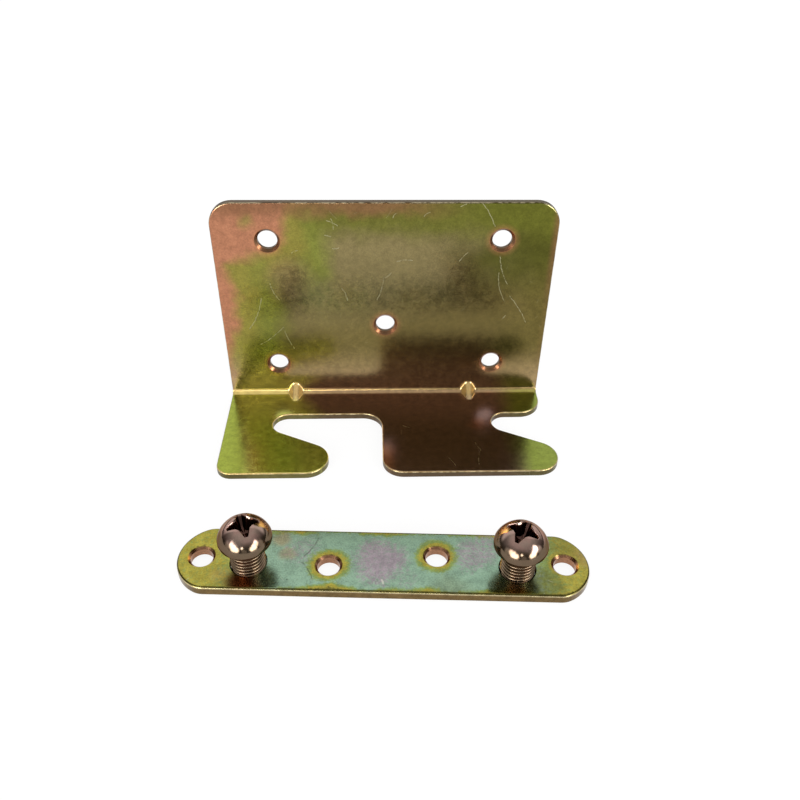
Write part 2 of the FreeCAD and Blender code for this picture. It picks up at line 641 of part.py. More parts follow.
def make_screw(side, sign):
    """One machine screw, turned by hand to where its cross recess points."""
    body = new_body(f"{side}_screw")
    head_radius = size("head_diameter") / 2
    seat = size("plate_thickness") + size("neck_height")
    section = draw_screw(body)
    new_feature(body, "Revolution", "screw_blank", Profile=section, ReferenceAxis=(section, ["V_Axis"]),
                Angle=360)
    dress(body, "Fillet", "head_edge",
          lambda edge: is_circle(edge, head_radius) and lies_at(edge, "Z", seat), "Sizes.head_edge_round")
    mouth = draw_recess(body, "recess_mouth", HEAD_TOP, "1")
    floor = draw_recess(body, "recess_floor", f"{HEAD_TOP} - Sizes.recess_depth", "Sizes.recess_floor_share")
    new_feature(body, "SubtractiveLoft", "cross_recess", Profile=mouth, Sections=[floor], Ruled=True)
    along = f"{sign}Sizes.hook_pitch / 2"
    offset = "Sizes.tapped_hole_offset"
    turn = "Sizes.plate_turn"
    body.setExpression("Placement.Base.x", f"{along} * cos({turn}) + {offset} * sin({turn})")
    body.setExpression("Placement.Base.y", f"{along} * sin({turn}) - {offset} * cos({turn})")
    body.setExpression("Placement.Rotation.Angle", f"Sizes.{side}_driver_turn * 1 deg")
    return body


parts = [make_hook_bracket(), make_post_plate(), make_screw("left", "-"), make_screw("right", "")]
doc.recompute()

failed = [item.Name for item in doc.Objects if {"Invalid", "Error"} & set(item.State)]
if failed:
    raise RuntimeError(f"features failed: {failed}")
for part in parts:
    if part.Shape.isNull() or not part.Shape.isValid() or len(part.Shape.Solids) != 1:
        raise RuntimeError(f"{part.Label} is not one valid solid")

os.makedirs("parts", exist_ok=True)
for part in parts:
    part.Shape.exportStep(f"parts/{part.Label}.step")
    print(f"{part.Label}: {part.Shape.Volume:.1f} mm3")
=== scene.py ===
import math

import bmesh
import bpy
from bpy.props import FloatProperty, FloatVectorProperty, IntProperty, PointerProperty
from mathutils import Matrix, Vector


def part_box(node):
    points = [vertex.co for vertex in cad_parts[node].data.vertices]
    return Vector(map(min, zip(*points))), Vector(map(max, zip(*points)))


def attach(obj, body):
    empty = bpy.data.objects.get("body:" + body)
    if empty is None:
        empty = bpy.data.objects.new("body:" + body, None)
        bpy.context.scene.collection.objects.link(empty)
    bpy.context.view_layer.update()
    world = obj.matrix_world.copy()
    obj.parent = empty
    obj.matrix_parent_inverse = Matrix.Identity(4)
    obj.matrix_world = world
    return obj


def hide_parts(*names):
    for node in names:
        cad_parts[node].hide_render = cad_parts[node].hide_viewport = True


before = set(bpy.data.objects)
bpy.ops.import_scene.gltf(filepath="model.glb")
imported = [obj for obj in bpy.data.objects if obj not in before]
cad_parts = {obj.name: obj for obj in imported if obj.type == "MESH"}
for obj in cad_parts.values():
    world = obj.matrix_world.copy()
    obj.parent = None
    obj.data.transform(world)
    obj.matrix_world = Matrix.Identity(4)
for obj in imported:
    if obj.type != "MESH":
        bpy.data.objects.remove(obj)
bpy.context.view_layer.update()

bl_info = {
    "name": "Bed Rail Fastener",
    "version": (1, 0, 0),
    "blender": (4, 5, 0),
    "location": "3D View > Sidebar > Fastener",
    "description": "Dresses the solids of a bed rail fastener in yellow zinc and sets its stage",
    "category": "Object",
}

MILLIMETRES = 1000.0
MM = 1.0 / MILLIMETRES


def millimetres(node):
    """Lowest and highest corner of a CAD node, in millimetres."""
    low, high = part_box(node)
    return low * MILLIMETRES, high * MILLIMETRES


BRACKET_LOW, BRACKET_HIGH = millimetres("hook_bracket")


# Properties


def colour(name, description, default):
    """A plating colour, in linear light."""
    return FloatVectorProperty(name=name, description=description, default=default, subtype="COLOR",
                               size=3, min=0.0, max=1.0)


def length(name, description, default):
    """A size in metres."""
    return FloatProperty(name=name, description=description, default=default, unit="LENGTH",
                         precision=5)


def share(name, description, default):
    """A value between nothing and all of it."""
    return FloatProperty(name=name, description=description, default=default, subtype="FACTOR",
                         min=0.0, max=1.0)


class BracketFinish(bpy.types.PropertyGroup):
    """Yellow passivation on the folded sheet."""
    salmon: colour("Salmon", "Film along the upright's left edge and corner", (0.47, 0.205, 0.115))
    gold: colour("Gold", "Film inside the salmon rim", (0.285, 0.25, 0.054))
    green: colour("Green", "Film further in from the rim", (0.23, 0.245, 0.05))
    ivy: colour("Ivy", "Film along the upper part of the upright", (0.145, 0.15, 0.024))
    olive: colour("Olive", "Film over the middle of the upright", (0.25, 0.20, 0.088))
    deep: colour("Deep olive", "Film towards the upright's right edge", (0.092, 0.09, 0.017))
    russet: colour("Russet", "Film along the upright's top edge", (0.25, 0.12, 0.06))
    fawn: colour("Fawn", "Film over the lower part of the upright", (0.165, 0.126, 0.038))
    # Wheat and tan are painted light over the upright's foot, where it mirrors the dark flange. Wheat
    # also tints a pale patch higher up
    wheat_and_foot_light: colour("Wheat", "Film along the left of the upright's foot", (0.43, 0.31, 0.17))
    tan: colour("Tan", "Film along the rest of the upright's foot", (0.40, 0.28, 0.14))
    leaf: colour("Leaf", "Film on the hooks' outer ends", (0.335, 0.39, 0.06))
    moss: colour("Moss", "Film further in on the left hook", (0.70, 0.77, 0.185))
    sage: colour("Sage", "Film on the right hook's tip", (0.25, 0.30, 0.057))
    umber: colour("Umber", "Film over the rest of the hook flange", (0.245, 0.15, 0.125))
    copper: colour("Copper", "Film round holes and at the heel", (0.60, 0.25, 0.12))
    # This colour is a painted highlight, laid inside the bend and over the darts
    bend_and_dart_highlight: colour("Fold", "Film stretched thin inside the bend and over the darts", (0.66, 0.46, 0.165))
    mouth: colour("Mouth", "Film inside the rail holes", (0.30, 0.125, 0.06))
    cut_edge: colour("Cut edge", "Sheared edge of the sheet", (0.095, 0.068, 0.037))
    # This colour is a painted highlight along the sheet's rounded edges
    edge_highlight: colour("Burnish", "Upper edge, rubbed bright", (0.60, 0.52, 0.34))
    scuff: colour("Scuff", "Bare zinc in scratches and nicks", (0.46, 0.43, 0.27))
    roughness: share("Roughness", "How far the plating blurs what it reflects", 0.20)
    hole_spacing: length("Hole spacing", "Between the left and right rail holes", 61.2 * MM)
    lower_holes: length("Lower holes", "Height of the lower rail holes", 12.2 * MM)
    upper_holes: length("Upper holes", "Height of the upper rail holes", 50.7 * MM)
    middle_hole: length("Middle hole", "Height of the middle rail hole", 25.1 * MM)
    middle_line: length("Middle line", "Where the upright's middle lies across", 1.5 * MM)
    left_dart: length("Left dart", "Where the left dart lies across", -24.8 * MM)
    right_dart: length("Right dart", "Where the right dart lies across", 26.1 * MM)
    sheet: length("Sheet", "Thickness of the sheet", 1.8 * MM)
    lean: FloatProperty(name="Lean", description="How far the upright's sheen leans back from square",
                        default=math.radians(1.7), subtype="ANGLE")


class PlateFinish(bpy.types.PropertyGroup):
    """Thicker, bluer passivation on the post plate."""
    # Olive also lays painted shade towards the plate's right end and front
    olive: colour("Olive", "Film along the plate's long edges", (0.14, 0.125, 0.035))
    gold: colour("Gold", "Film round the holes and at both ends", (0.40, 0.345, 0.06))
    green: colour("Green", "Film between the gold and the teal", (0.25, 0.33, 0.10))
    teal: colour("Teal", "Film over the middle of the plate", (0.27, 0.41, 0.295))
    lilac: colour("Lilac", "Patches where the film is thickest", (0.37, 0.28, 0.335))
    amber: colour("Amber", "Patches where the film is thin", (0.38, 0.23, 0.10))
    # This colour is a painted reflection of the screws in the plate
    screw_reflection: colour("Sienna", "Patches in front of the screws", (0.20, 0.07, 0.025))
    hole_wall: colour("Hole wall", "Film inside the holes", (0.32, 0.16, 0.09))
    rolled: colour("Rolled edge", "Film on the rounded upper edge", (0.075, 0.065, 0.016))
    # This colour is a painted highlight on the lower part of the plate's rounded edge
    edge_highlight: colour("Burnish", "Lower part of the rounded edge, rubbed bright", (0.55, 0.46, 0.28))
    cut_edge: colour("Cut edge", "Sheared edge of the plate", (0.165, 0.108, 0.041))
    scuff: colour("Scuff", "Bare zinc in nicks", (0.66, 0.64, 0.56))
    grime: colour("Grime", "Dark film in scratches and specks", (0.07, 0.075, 0.05))
    roughness: share("Roughness", "How far the plating blurs what it reflects", 0.22)
    turn: FloatProperty(name="Turn", description="How far the plate lies turned about its middle",
                        default=math.radians(-2.85), subtype="ANGLE")
    half_width: length("Half width", "From the middle line to a long edge", 9.0 * MM)
    end_radius: length("End radius", "Radius of a rounded end", 9.5 * MM)
    end_centre: length("End centre", "From the middle to the centre of a rounded end", 38.0 * MM)
    end_hole: length("End hole", "From the middle to an end hole", 41.9 * MM)
    inner_hole: length("Inner hole", "From the middle to an inner hole, along the plate", 12.4 * MM)
    stagger: length("Stagger", "From the middle to an inner hole, across the plate", 1.67 * MM)


class ScrewSizes(bpy.types.PropertyGroup):
    """Sizes of the two machine screws."""
    shank_radius: length("Shank radius", "Over the thread's crests", 4.0 * MM)
    thread_pitch: length("Thread pitch", "Rise of the thread in one turn", 1.0 * MM)
    thread_depth: length("Thread depth", "From crest to root", 0.58 * MM)
    tip_chamfer: length("Tip chamfer", "Bevel at the lower end", 0.7 * MM)
    seat_height: length("Seat height", "Underside of the head", 9.8 * MM)
    head_height: length("Head height", "From the underside of the head to its crown", 5.6 * MM)
    rim_height: length("Rim height", "Upright rim of the head", 1.0 * MM)
    rim_round: length("Rim round", "Radius of the rim's edges", 0.3 * MM)
    recess_span: length("Recess span", "Across two wings at the crown", 9.2 * MM)
    recess_tip: length("Recess tip", "Width of a wing's end at the crown", 1.0 * MM)
    recess_wing: length("Recess wing", "Width of a wing where it meets the core", 2.6 * MM)
    recess_core: length("Recess core", "Width of the core at the crown", 3.9 * MM)
    recess_depth: length("Recess depth", "From the crown to the recess floor", 3.5 * MM)
    recess_floor: share("Recess floor", "Share of the recess left at its floor", 0.38)
    recess_lobe: length("Recess lobe", "How far the punch raised the dome between wings", 0.16 * MM)
    left_turn: FloatProperty(name="Left turn", description="Where the left recess points",
                             default=math.radians(20), subtype="ANGLE")
    right_turn: FloatProperty(name="Right turn", description="Where the right recess points",
                              default=math.radians(59), subtype="ANGLE")
    rings_per_turn: IntProperty(name="Rings per turn", description="Mesh rings in one thread turn",
                                default=18, min=8)


class ScrewFinish(bpy.types.PropertyGroup):
    """Bright bronze-tinted plating on the screws."""
    bronze: colour("Bronze", "Plating on the head", (0.38, 0.27, 0.22))
    rose: colour("Rose", "Pink cast in the plating", (0.40, 0.255, 0.215))
    straw: colour("Straw", "Darker cast at the rim", (0.11, 0.08, 0.045))
    brass: colour("Brass", "Yellow cast in the thread", (0.20, 0.148, 0.078))
    # This colour is painted shade, laid in the cross recess and in the thread's grooves
    recess: colour("Recess", "Plating in the cross recess", (0.055, 0.022, 0.017))
    roughness: share("Roughness", "How far the plating blurs what it reflects", 0.09)


class StageSettings(bpy.types.PropertyGroup):
    """Floor, light and camera."""
    floor_size: length("Floor size", "Side of the floor", 6.0)
    floor_drop: length("Floor drop", "Gap that keeps the floor clear of the metal", 0.05 * MM)
    floor_colour: colour("Floor colour", "Paint of the floor", (0.90, 0.90, 0.90))
    floor_white: share("Floor white", "How far the floor reads as plain white", 0.88)
    walls: colour("Walls", "Studio walls near the floor", (0.11, 0.105, 0.10))
    backdrop: colour("Backdrop", "White screen behind the object", (1.0, 1.0, 1.0))
    ceiling: colour("Ceiling", "Studio ceiling", (0.66, 0.65, 0.64))
    windows: FloatProperty(name="Windows", description="How bright the small windows are", default=13.0)
    top_lamp: FloatProperty(name="Top lamp", description="Power of the soft lamp above the floor",
                            default=11.0, unit="POWER")
    lamp_size: length("Lamp size", "Side of the soft lamp", 2.4)
    lamp_height: length("Lamp height", "How far the soft lamp hangs above the floor", 0.9)
    camera_place: FloatVectorProperty(name="Camera place", description="Where the camera stands",
                                      default=(-1.351 * MM, -120.314 * MM, 141.331 * MM),
                                      subtype="TRANSLATION", unit="LENGTH", size=3, precision=6)
    camera_turn: FloatVectorProperty(name="Camera turn", description="Which way the camera looks",
                                     default=(math.radians(52.49019), math.radians(-0.69636),
                                              math.radians(-1.70927)), subtype="EULER", size=3)
    lens: FloatProperty(name="Lens", description="Focal length on a 36 mm sensor", default=35.139,
                        unit="CAMERA")


# Node helpers


def node(tree, kind, inputs=(), **settings):
    """A node. Inputs pair a socket's name or number with a value, or with an output to link."""
    made = tree.nodes.new(kind)
    for key, value in settings.items():
        setattr(made, key, value)
    for key, value in dict(inputs).items():
        if isinstance(value, bpy.types.NodeSocket):
            tree.links.new(value, made.inputs[key])
        else:
            made.inputs[key].default_value = value
    return made


def maths(tree, operation, *values):
    """One operation on values or outputs."""
    return node(tree, "ShaderNodeMath", enumerate(values), operation=operation).outputs[0]


def plus(tree, first, second):
    """The sum of two values or outputs."""
    return maths(tree, "ADD", first, second)


def minus(tree, first, second):
    """The first value or output less the second."""
    return maths(tree, "SUBTRACT", first, second)


def product(tree, *masks):
    """The product of several masks or values."""
    together = masks[0]
    for mask in masks[1:]:
        together = maths(tree, "MULTIPLY", together, mask)
    return together


def ease(tree, value, low, high):
    """Rises smoothly from 0 at low to 1 at high. With low above high it falls."""
    inputs = {"Value": value, "From Min": low, "From Max": high}
    made = node(tree, "ShaderNodeMapRange", inputs, interpolation_type="SMOOTHSTEP")
    return made.outputs["Result"]


def mix(tree, factor, first, second, blend="MIX"):
    """Blends two colours."""
    inputs = {0: factor, 6: first, 7: second}
    made = node(tree, "ShaderNodeMix", inputs, data_type="RGBA", blend_type=blend)
    return made.outputs[2]


def between(tree, factor, first, second):
    """Blends two values."""
    return node(tree, "ShaderNodeMix", {0: factor, 2: first, 3: second}).outputs[0]


def noise(tree, vector, scale, detail=2.0):
    """Cloudy noise about 0.5, with its scale in turns for each unit of the vector."""
    inputs = {"Vector": vector, "Scale": scale, "Detail": detail}
    return node(tree, "ShaderNodeTexNoise", inputs).outputs[0]


def vector_maths(tree, operation, *values):
    """One operation on vectors or outputs."""
    return node(tree, "ShaderNodeVectorMath", enumerate(values), operation=operation).outputs[0]


def scaled(tree, vector, by):
    """A vector made longer or shorter."""
    return node(tree, "ShaderNodeVectorMath", {0: vector, "Scale": by}, operation="SCALE").outputs[0]


def dot(tree, first, second):
    """How far one vector reaches along another."""
    made = node(tree, "ShaderNodeVectorMath", {0: first, 1: second}, operation="DOT_PRODUCT")
    return made.outputs["Value"]


def shifted(tree, vector, offset):
    """The same coordinates somewhere else in the noise."""
    return vector_maths(tree, "ADD", vector, offset)


def warped(tree, vector, scale, reach):
    """Coordinates pushed about by noise, so that plain outlines wander."""
    inputs = {"Vector": vector, "Scale": scale, "Detail": 2.0}
    push = node(tree, "ShaderNodeTexNoise", inputs).outputs["Color"]
    push = vector_maths(tree, "SUBTRACT", push, (0.5, 0.5, 0.5))
    return vector_maths(tree, "ADD", vector, vector_maths(tree, "MULTIPLY", push, (reach,) * 3))


def parts_of(tree, vector):
    """The three parts of a vector."""
    return node(tree, "ShaderNodeSeparateXYZ", {0: vector}).outputs[:3]


def vector_of(tree, x, y, z=0.0):
    """A vector from its parts."""
    return node(tree, "ShaderNodeCombineXYZ", {0: x, 1: y, 2: z}).outputs[0]


def far_from(tree, vector, place):
    """Distance from a place."""
    made = node(tree, "ShaderNodeVectorMath", {0: vector, 1: place}, operation="DISTANCE")
    return made.outputs["Value"]


def soft_spot(tree, vector, place, inner, outer):
    """Mask of a round spot that fades out from one radius to another."""
    return ease(tree, far_from(tree, vector, place), outer, inner)


def widest(tree, masks):
    """The strongest of several masks."""
    strongest = 0.0
    for mask in masks:
        strongest = maths(tree, "MAXIMUM", strongest, mask)
    return strongest


def opaque(linear):
    """A property's colour as a socket takes it."""
    return (*linear, 1.0)


def tinted(tree, shade, film, *masks):
    """A colour with another film over it where all the masks are."""
    return mix(tree, product(tree, *masks), shade, opaque(film))


def object_millimetres(tree):
    """Object coordinates in millimetres, and the object's own normal without its signs."""
    source = node(tree, "ShaderNodeTexCoord")
    place = scaled(tree, source.outputs["Object"], MILLIMETRES)
    return place, vector_maths(tree, "ABSOLUTE", source.outputs["Normal"])


def new_group(name, inputs, outputs):
    """An empty shader group with its sockets, and its two ends."""
    tree = bpy.data.node_groups.new(name, "ShaderNodeTree")
    for label, kind in inputs:
        tree.interface.new_socket(name=label, in_out="INPUT", socket_type=f"NodeSocket{kind}")
    for label, kind in outputs:
        tree.interface.new_socket(name=label, in_out="OUTPUT", socket_type=f"NodeSocket{kind}")
    return tree, node(tree, "NodeGroupInput").outputs, node(tree, "NodeGroupOutput").inputs


def place_group(tree, name, builder, inputs):
    """A group in a material, built the first time that it is asked for."""
    group = bpy.data.node_groups.get(name) or builder(name)
    return node(tree, "ShaderNodeGroup", inputs, node_tree=group).outputs


def new_material(name):
    """A material with only its output, and the tree to fill."""
    material = bpy.data.materials.new(name)
    material.use_nodes = True
    tree = material.node_tree
    tree.nodes.clear()
    return material, tree, node(tree, "ShaderNodeOutputMaterial").inputs["Surface"]


def dress(piece, material):
    """Gives a piece its one material."""
    piece.data.materials.clear()
    piece.data.materials.append(material)


# Effects that the platings share


def build_film(name):
    """Passivation film: its colour from the edge of a piece inwards, with patches."""
    colours = ("Edge", "First", "Second", "Body", "Patch")
    inputs = [("Film", "Float"), ("Patches", "Float")] + [(label, "Color") for label in colours]
    tree, given, put = new_group(name, inputs, [("Colour", "Color")])
    film = given["Film"]
    shade = mix(tree, ease(tree, film, 0.04, 0.28), given["Edge"], given["First"])
    shade = mix(tree, ease(tree, film, 0.32, 0.62), shade, given["Second"])
    shade = mix(tree, ease(tree, film, 0.60, 1.0), shade, given["Body"])
    tree.links.new(mix(tree, given["Patches"], shade, given["Patch"]), put["Colour"])
    return tree


def build_grain(name):
    """Grain of plated sheet: a fine mottle, specks, and the height of both."""
    inputs = [("Vector", "Vector"), ("Speck Size", "Float")]
    tree, given, put = new_group(name, inputs, [("Mottle", "Float"), ("Specks", "Float"),
                                                ("Height", "Float")])
    coarse = noise(tree, given["Vector"], 0.6, 4.0)
    fine = noise(tree, given["Vector"], 2.6, 3.0)
    mottle = plus(tree, product(tree, coarse, 0.5), product(tree, fine, 0.5))
    dots = node(tree, "ShaderNodeTexVoronoi", {"Vector": given["Vector"], "Scale": 0.33})
    chance = node(tree, "ShaderNodeSeparateColor", {0: dots.outputs["Color"]}).outputs[0]
    spread = product(tree, given["Speck Size"], ease(tree, chance, 0.45, 1.0))
    specks = ease(tree, dots.outputs["Distance"], spread, product(tree, spread, 0.5))
    tree.links.new(ease(tree, mottle, 0.3, 0.7), put["Mottle"])
    tree.links.new(specks, put["Specks"])
    tree.links.new(minus(tree, mottle, product(tree, specks, 0.4)), put["Height"])
    return tree


def nicks(tree, vector, scale, kept, reach, width):
    """Short straight nicks, each at its own angle in its own cell."""
    cells = node(tree, "ShaderNodeTexVoronoi", {"Vector": vector, "Scale": scale, "Randomness": 0.9})
    dice = node(tree, "ShaderNodeSeparateColor", {0: cells.outputs["Color"]}).outputs
    local = vector_maths(tree, "SUBTRACT", vector, cells.outputs["Position"])
    angle = product(tree, dice[0], math.tau)
    turned = node(tree, "ShaderNodeVectorRotate", {"Vector": local, "Angle": angle},
                  rotation_type="Z_AXIS").outputs[0]
    along, across, _ = parts_of(tree, turned)
    bowed = plus(tree, across, product(tree, along, along, 0.05))
    long = product(tree, dice[1], reach)
    beyond = minus(tree, maths(tree, "ABSOLUTE", along), long)
    stroke = ease(tree, maths(tree, "ABSOLUTE", bowed), width, 0.0)
    stroke = product(tree, stroke, ease(tree, beyond, 0.3, 0.0))
    return product(tree, stroke, maths(tree, "LESS_THAN", dice[2], kept))


def build_scuffs(name):
    """Small nicks from handling, in two sizes."""
    inputs = [("Vector", "Vector"), ("Nick Share", "Float"), ("Nick Width", "Float")]
    tree, given, put = new_group(name, inputs, [("Mask", "Float")])
    vector, kept, width = given["Vector"], given["Nick Share"], given["Nick Width"]
    long = nicks(tree, vector, 0.12, kept, 1.4, width)
    short = nicks(tree, shifted(tree, vector, (17.0, 63.0, 0.0)), 0.26, kept, 0.5, width)
    tree.links.new(maths(tree, "MAXIMUM", long, product(tree, short, 0.7)), put["Mask"])
    return tree


def build_scratch(name):
    """One more thin scratch, from a start to an end, bowed by a share of its length."""
    inputs = [("Vector", "Vector"), ("Start", "Vector"), ("End", "Vector"), ("Bow", "Float"),
              ("Width", "Float"), ("Others", "Float")]
    tree, given, put = new_group(name, inputs, [("Mask", "Float")])
    way = vector_maths(tree, "SUBTRACT", given["End"], given["Start"])
    place = vector_maths(tree, "SUBTRACT", given["Vector"], given["Start"])
    reach = maths(tree, "DIVIDE", dot(tree, place, way), dot(tree, way, way))
    part = node(tree, "ShaderNodeClamp", {0: reach}).outputs[0]
    side = node(tree, "ShaderNodeVectorRotate", {"Vector": way, "Angle": math.pi / 2},
                rotation_type="Z_AXIS").outputs[0]
    sag = product(tree, given["Bow"], 4.0, part, minus(tree, 1.0, part))
    along = scaled(tree, way, part)
    aside = scaled(tree, side, sag)
    away = far_from(tree, place, vector_maths(tree, "ADD", along, aside))
    runs = ease(tree, noise(tree, given["Vector"], 0.7, 2.0), 0.34, 0.56)
    line = ease(tree, away, given["Width"], product(tree, given["Width"], 0.3))
    line = product(tree, line, plus(tree, 0.35, product(tree, runs, 0.65)))
    tree.links.new(maths(tree, "MAXIMUM", line, given["Others"]), put["Mask"])
    return tree


def build_worn_edges(name):
    """Masks of a rounded edge: its upper part, and its lower part, which takes a painted highlight."""
    inputs = [("Upward", "Float")]
    tree, given, put = new_group(name, inputs, [("Rolled", "Float"), ("Highlighted", "Float")])
    up = given["Upward"]
    rolled = product(tree, ease(tree, up, 0.985, 0.90), ease(tree, up, 0.45, 0.60))
    highlighted = product(tree, ease(tree, up, 0.60, 0.45), ease(tree, up, 0.04, 0.14))
    tree.links.new(rolled, put["Rolled"])
    tree.links.new(highlighted, put["Highlighted"])
    return tree


FILM = ("Passivation film", build_film)
GRAIN = ("Plated grain", build_grain)
SCUFFS = ("Handling scuffs", build_scuffs)
SCRATCH = ("Scratch", build_scratch)
WORN_EDGES = ("Worn edges", build_worn_edges)
GRAIN_DEPTH = 0.05 * MM


def handling(tree, vector, kept, width):
    """Mask of small nicks, with the share of cells that keep theirs."""
    inputs = {"Vector": vector, "Nick Share": kept, "Nick Width": width}
    return place_group(tree, *SCUFFS, inputs)["Mask"]


def scratches(tree, vector, lines, width):
    """Mask of several scratches, each with its two ends and its bow."""
    mask = 0.0
    vector = warped(tree, vector, 0.8, 0.5)
    for start, end, bow in lines:
        mask = place_group(tree, *SCRATCH, {
            "Vector": vector, "Start": (*start, 0.0), "End": (*end, 0.0), "Bow": bow, "Width": width,
            "Others": mask})["Mask"]
    return mask


def darkened(tree, shade, grain, mottle, specks):
    """A film's colour with the grain's mottle and specks in it."""
    tone = plus(tree, 1.0 - mottle / 2.0, product(tree, grain["Mottle"], mottle))
    tone = minus(tree, tone, product(tree, grain["Specks"], specks))
    return mix(tree, 1.0, shade, vector_of(tree, tone, tone, tone), "MULTIPLY")


# Hook bracket


# Millimetres that part the two flanges and the bend, sizes round a rail hole and a scratch's width
FLANGE_TOP = 1.75
UPRIGHT_FOOT = 8.0
BEND_FRONT = 62.5
BEND_TOP = 4.5
HOLE_MOUTH = 3.6
HALO_REACH = 5.2
SCRATCH_WIDTH = 0.15

# Scratches as two ends and a bow. An end is across and height on the upright, across and depth on
# the hook flange
UPRIGHT_SCRATCHES = (
    ((26.1, 60.9), (29.7, 54.6), 0.05), ((31.9, 46.2), (34.5, 37.8), -0.06),
    ((35.5, 34.0), (40.8, 25.7), 0.04), ((32.0, 41.2), (34.3, 32.5), -0.08),
    ((3.1, 41.3), (1.1, 39.8), 0.10), ((1.1, 39.8), (-0.7, 33.1), 0.04),
    ((-32.2, 33.7), (-36.3, 24.0), 0.06), ((-29.4, 38.2), (-27.4, 33.3), -0.06),
    ((-33.6, 18.8), (-26.9, 24.5), -0.04), ((-26.9, 24.5), (-24.4, 17.4), -0.04),
    ((11.3, 57.4), (12.9, 58.5), 0.10), ((21.1, 44.8), (23.2, 47.3), 0.02),
    ((34.1, 26.7), (35.0, 27.9), 0.0), ((-23.0, 47.2), (-21.5, 47.9), 0.10),
    ((-12.3, 48.4), (-10.6, 48.8), -0.10), ((3.4, 57.0), (4.4, 58.4), 0.10),
    ((4.6, 44.6), (8.6, 45.0), 0.08), ((-10.2, 36.6), (-8.8, 33.0), 0.05),
    ((20.6, 60.2), (22.0, 60.7), 0.0), ((-13.6, 56.2), (-10.8, 54.9), 0.06),
    ((-12.4, 56.8), (-11.8, 53.9), 0.04), ((-14.2, 52.3), (-12.6, 51.8), 0.0))
FLANGE_SCRATCHES = (
    ((25.9, 41.9), (27.1, 39.0), -0.08), ((27.1, 39.0), (26.0, 32.6), -0.06),
    ((17.6, 36.4), (19.6, 32.6), 0.05), ((5.6, 50.0), (8.0, 48.8), -0.08))

# Patches on the upright as across, height and reach
GREEN_PATCHES = ((-32.0, 43.5, 5.0), (-33.5, 56.5, 3.0), (-30.0, 30.0, 7.0))
PALE_PATCHES = ((-24.0, 39.5, 9.0),)


def sheet_scratches(tree, finish, sheet):
    """Mask of all the bracket's scratches, on the sheet as if it were unrolled."""
    thick = finish.sheet * MILLIMETRES
    front = BRACKET_HIGH.y - thick
    lines = [((a[0], a[1] + front), (b[0], b[1] + front), bow) for a, b, bow in UPRIGHT_SCRATCHES]
    lines += [((a[0], a[1] + thick), (b[0], b[1] + thick), bow) for a, b, bow in FLANGE_SCRATCHES]
    return scratches(tree, sheet, lines, SCRATCH_WIDTH)


def on_upright(tree, finish, place, spots):
    """Mask of soft spots on the upright, each with its place across, its height and its reach."""
    front = BRACKET_HIGH.y - finish.sheet * MILLIMETRES
    return widest(tree, (soft_spot(tree, place, (across, front, height), 0.1 * reach, reach)
                         for across, height, reach in spots))


def upright_film(tree, finish, place):
    """Colour of the upright: salmon at its left and top left, then gold, green and olive, with painted
    light over its foot.
    """
    x, _, z = parts_of(tree, place)
    drift = minus(tree, noise(tree, place, 0.07, 2.0), 0.5)
    ripple = minus(tree, noise(tree, shifted(tree, place, (61.0, 7.0, 0.0)), 0.2, 3.0), 0.5)
    from_left = maths(tree, "DIVIDE", minus(tree, x, BRACKET_LOW.x), 20.0)
    from_left = plus(tree, from_left, product(tree, ease(tree, z, 28.0, 6.0), 0.06))
    leaning = minus(tree, z, product(tree, x, 0.48))
    from_corner = minus(tree, 2.69, product(tree, leaning, 0.04))
    from_corner = maths(tree, "MAXIMUM", from_corner, maths(tree, "DIVIDE", plus(tree, x, 28.0), 18.0))
    film = maths(tree, "MINIMUM", from_left, from_corner)
    film = plus(tree, film, product(tree, drift, 0.42))
    film = plus(tree, film, product(tree, ripple, 0.28))
    patches = on_upright(tree, finish, warped(tree, place, 0.12, 7.0), GREEN_PATCHES)
    rightward = plus(tree, x, product(tree, z, 0.45))
    rightward = plus(tree, rightward, product(tree, drift, 30.0))
    body = tinted(tree, opaque(finish.olive), finish.deep, ease(tree, rightward, 33.0, 60.0))
    shade = place_group(tree, *FILM, {
        "Film": film, "Patches": product(tree, patches, 0.6), "Edge": opaque(finish.salmon),
        "First": opaque(finish.gold), "Second": opaque(finish.green), "Body": body,
        "Patch": opaque(finish.green)})["Colour"]
    level = plus(tree, z, product(tree, ripple, 6.0))
    upper = product(tree, ease(tree, level, 48.5, 56.5), ease(tree, x, -24.0, -12.0))
    shade = tinted(tree, shade, finish.ivy, upper, 0.9)
    top = product(tree, ease(tree, level, 55.2, 60.0), ease(tree, x, 26.0, 0.0))
    right = product(tree, ease(tree, x, BRACKET_HIGH.x - 3.4, BRACKET_HIGH.x - 1.4), 0.6)
    top = maths(tree, "MAXIMUM", product(tree, top, 0.8), right)
    shade = tinted(tree, shade, finish.russet, top)
    pale = on_upright(tree, finish, place, PALE_PATCHES)
    shade = tinted(tree, shade, finish.wheat_and_foot_light, pale, 0.55)
    slanting = minus(tree, z, product(tree, x, 0.22))
    low = product(tree, ease(tree, slanting, 38.0, 20.0), ease(tree, x, -38.0, -24.0))
    shade = tinted(tree, shade, finish.fawn, low, 0.8)
    # Painted light over the foot: wheat at its left, tan further right, fading out upwards
    foot = tinted(tree, opaque(finish.wheat_and_foot_light), finish.tan, ease(tree, x, -36.0, -16.0))
    return mix(tree, product(tree, ease(tree, z, 19.0, 4.0), 0.9), shade, foot)


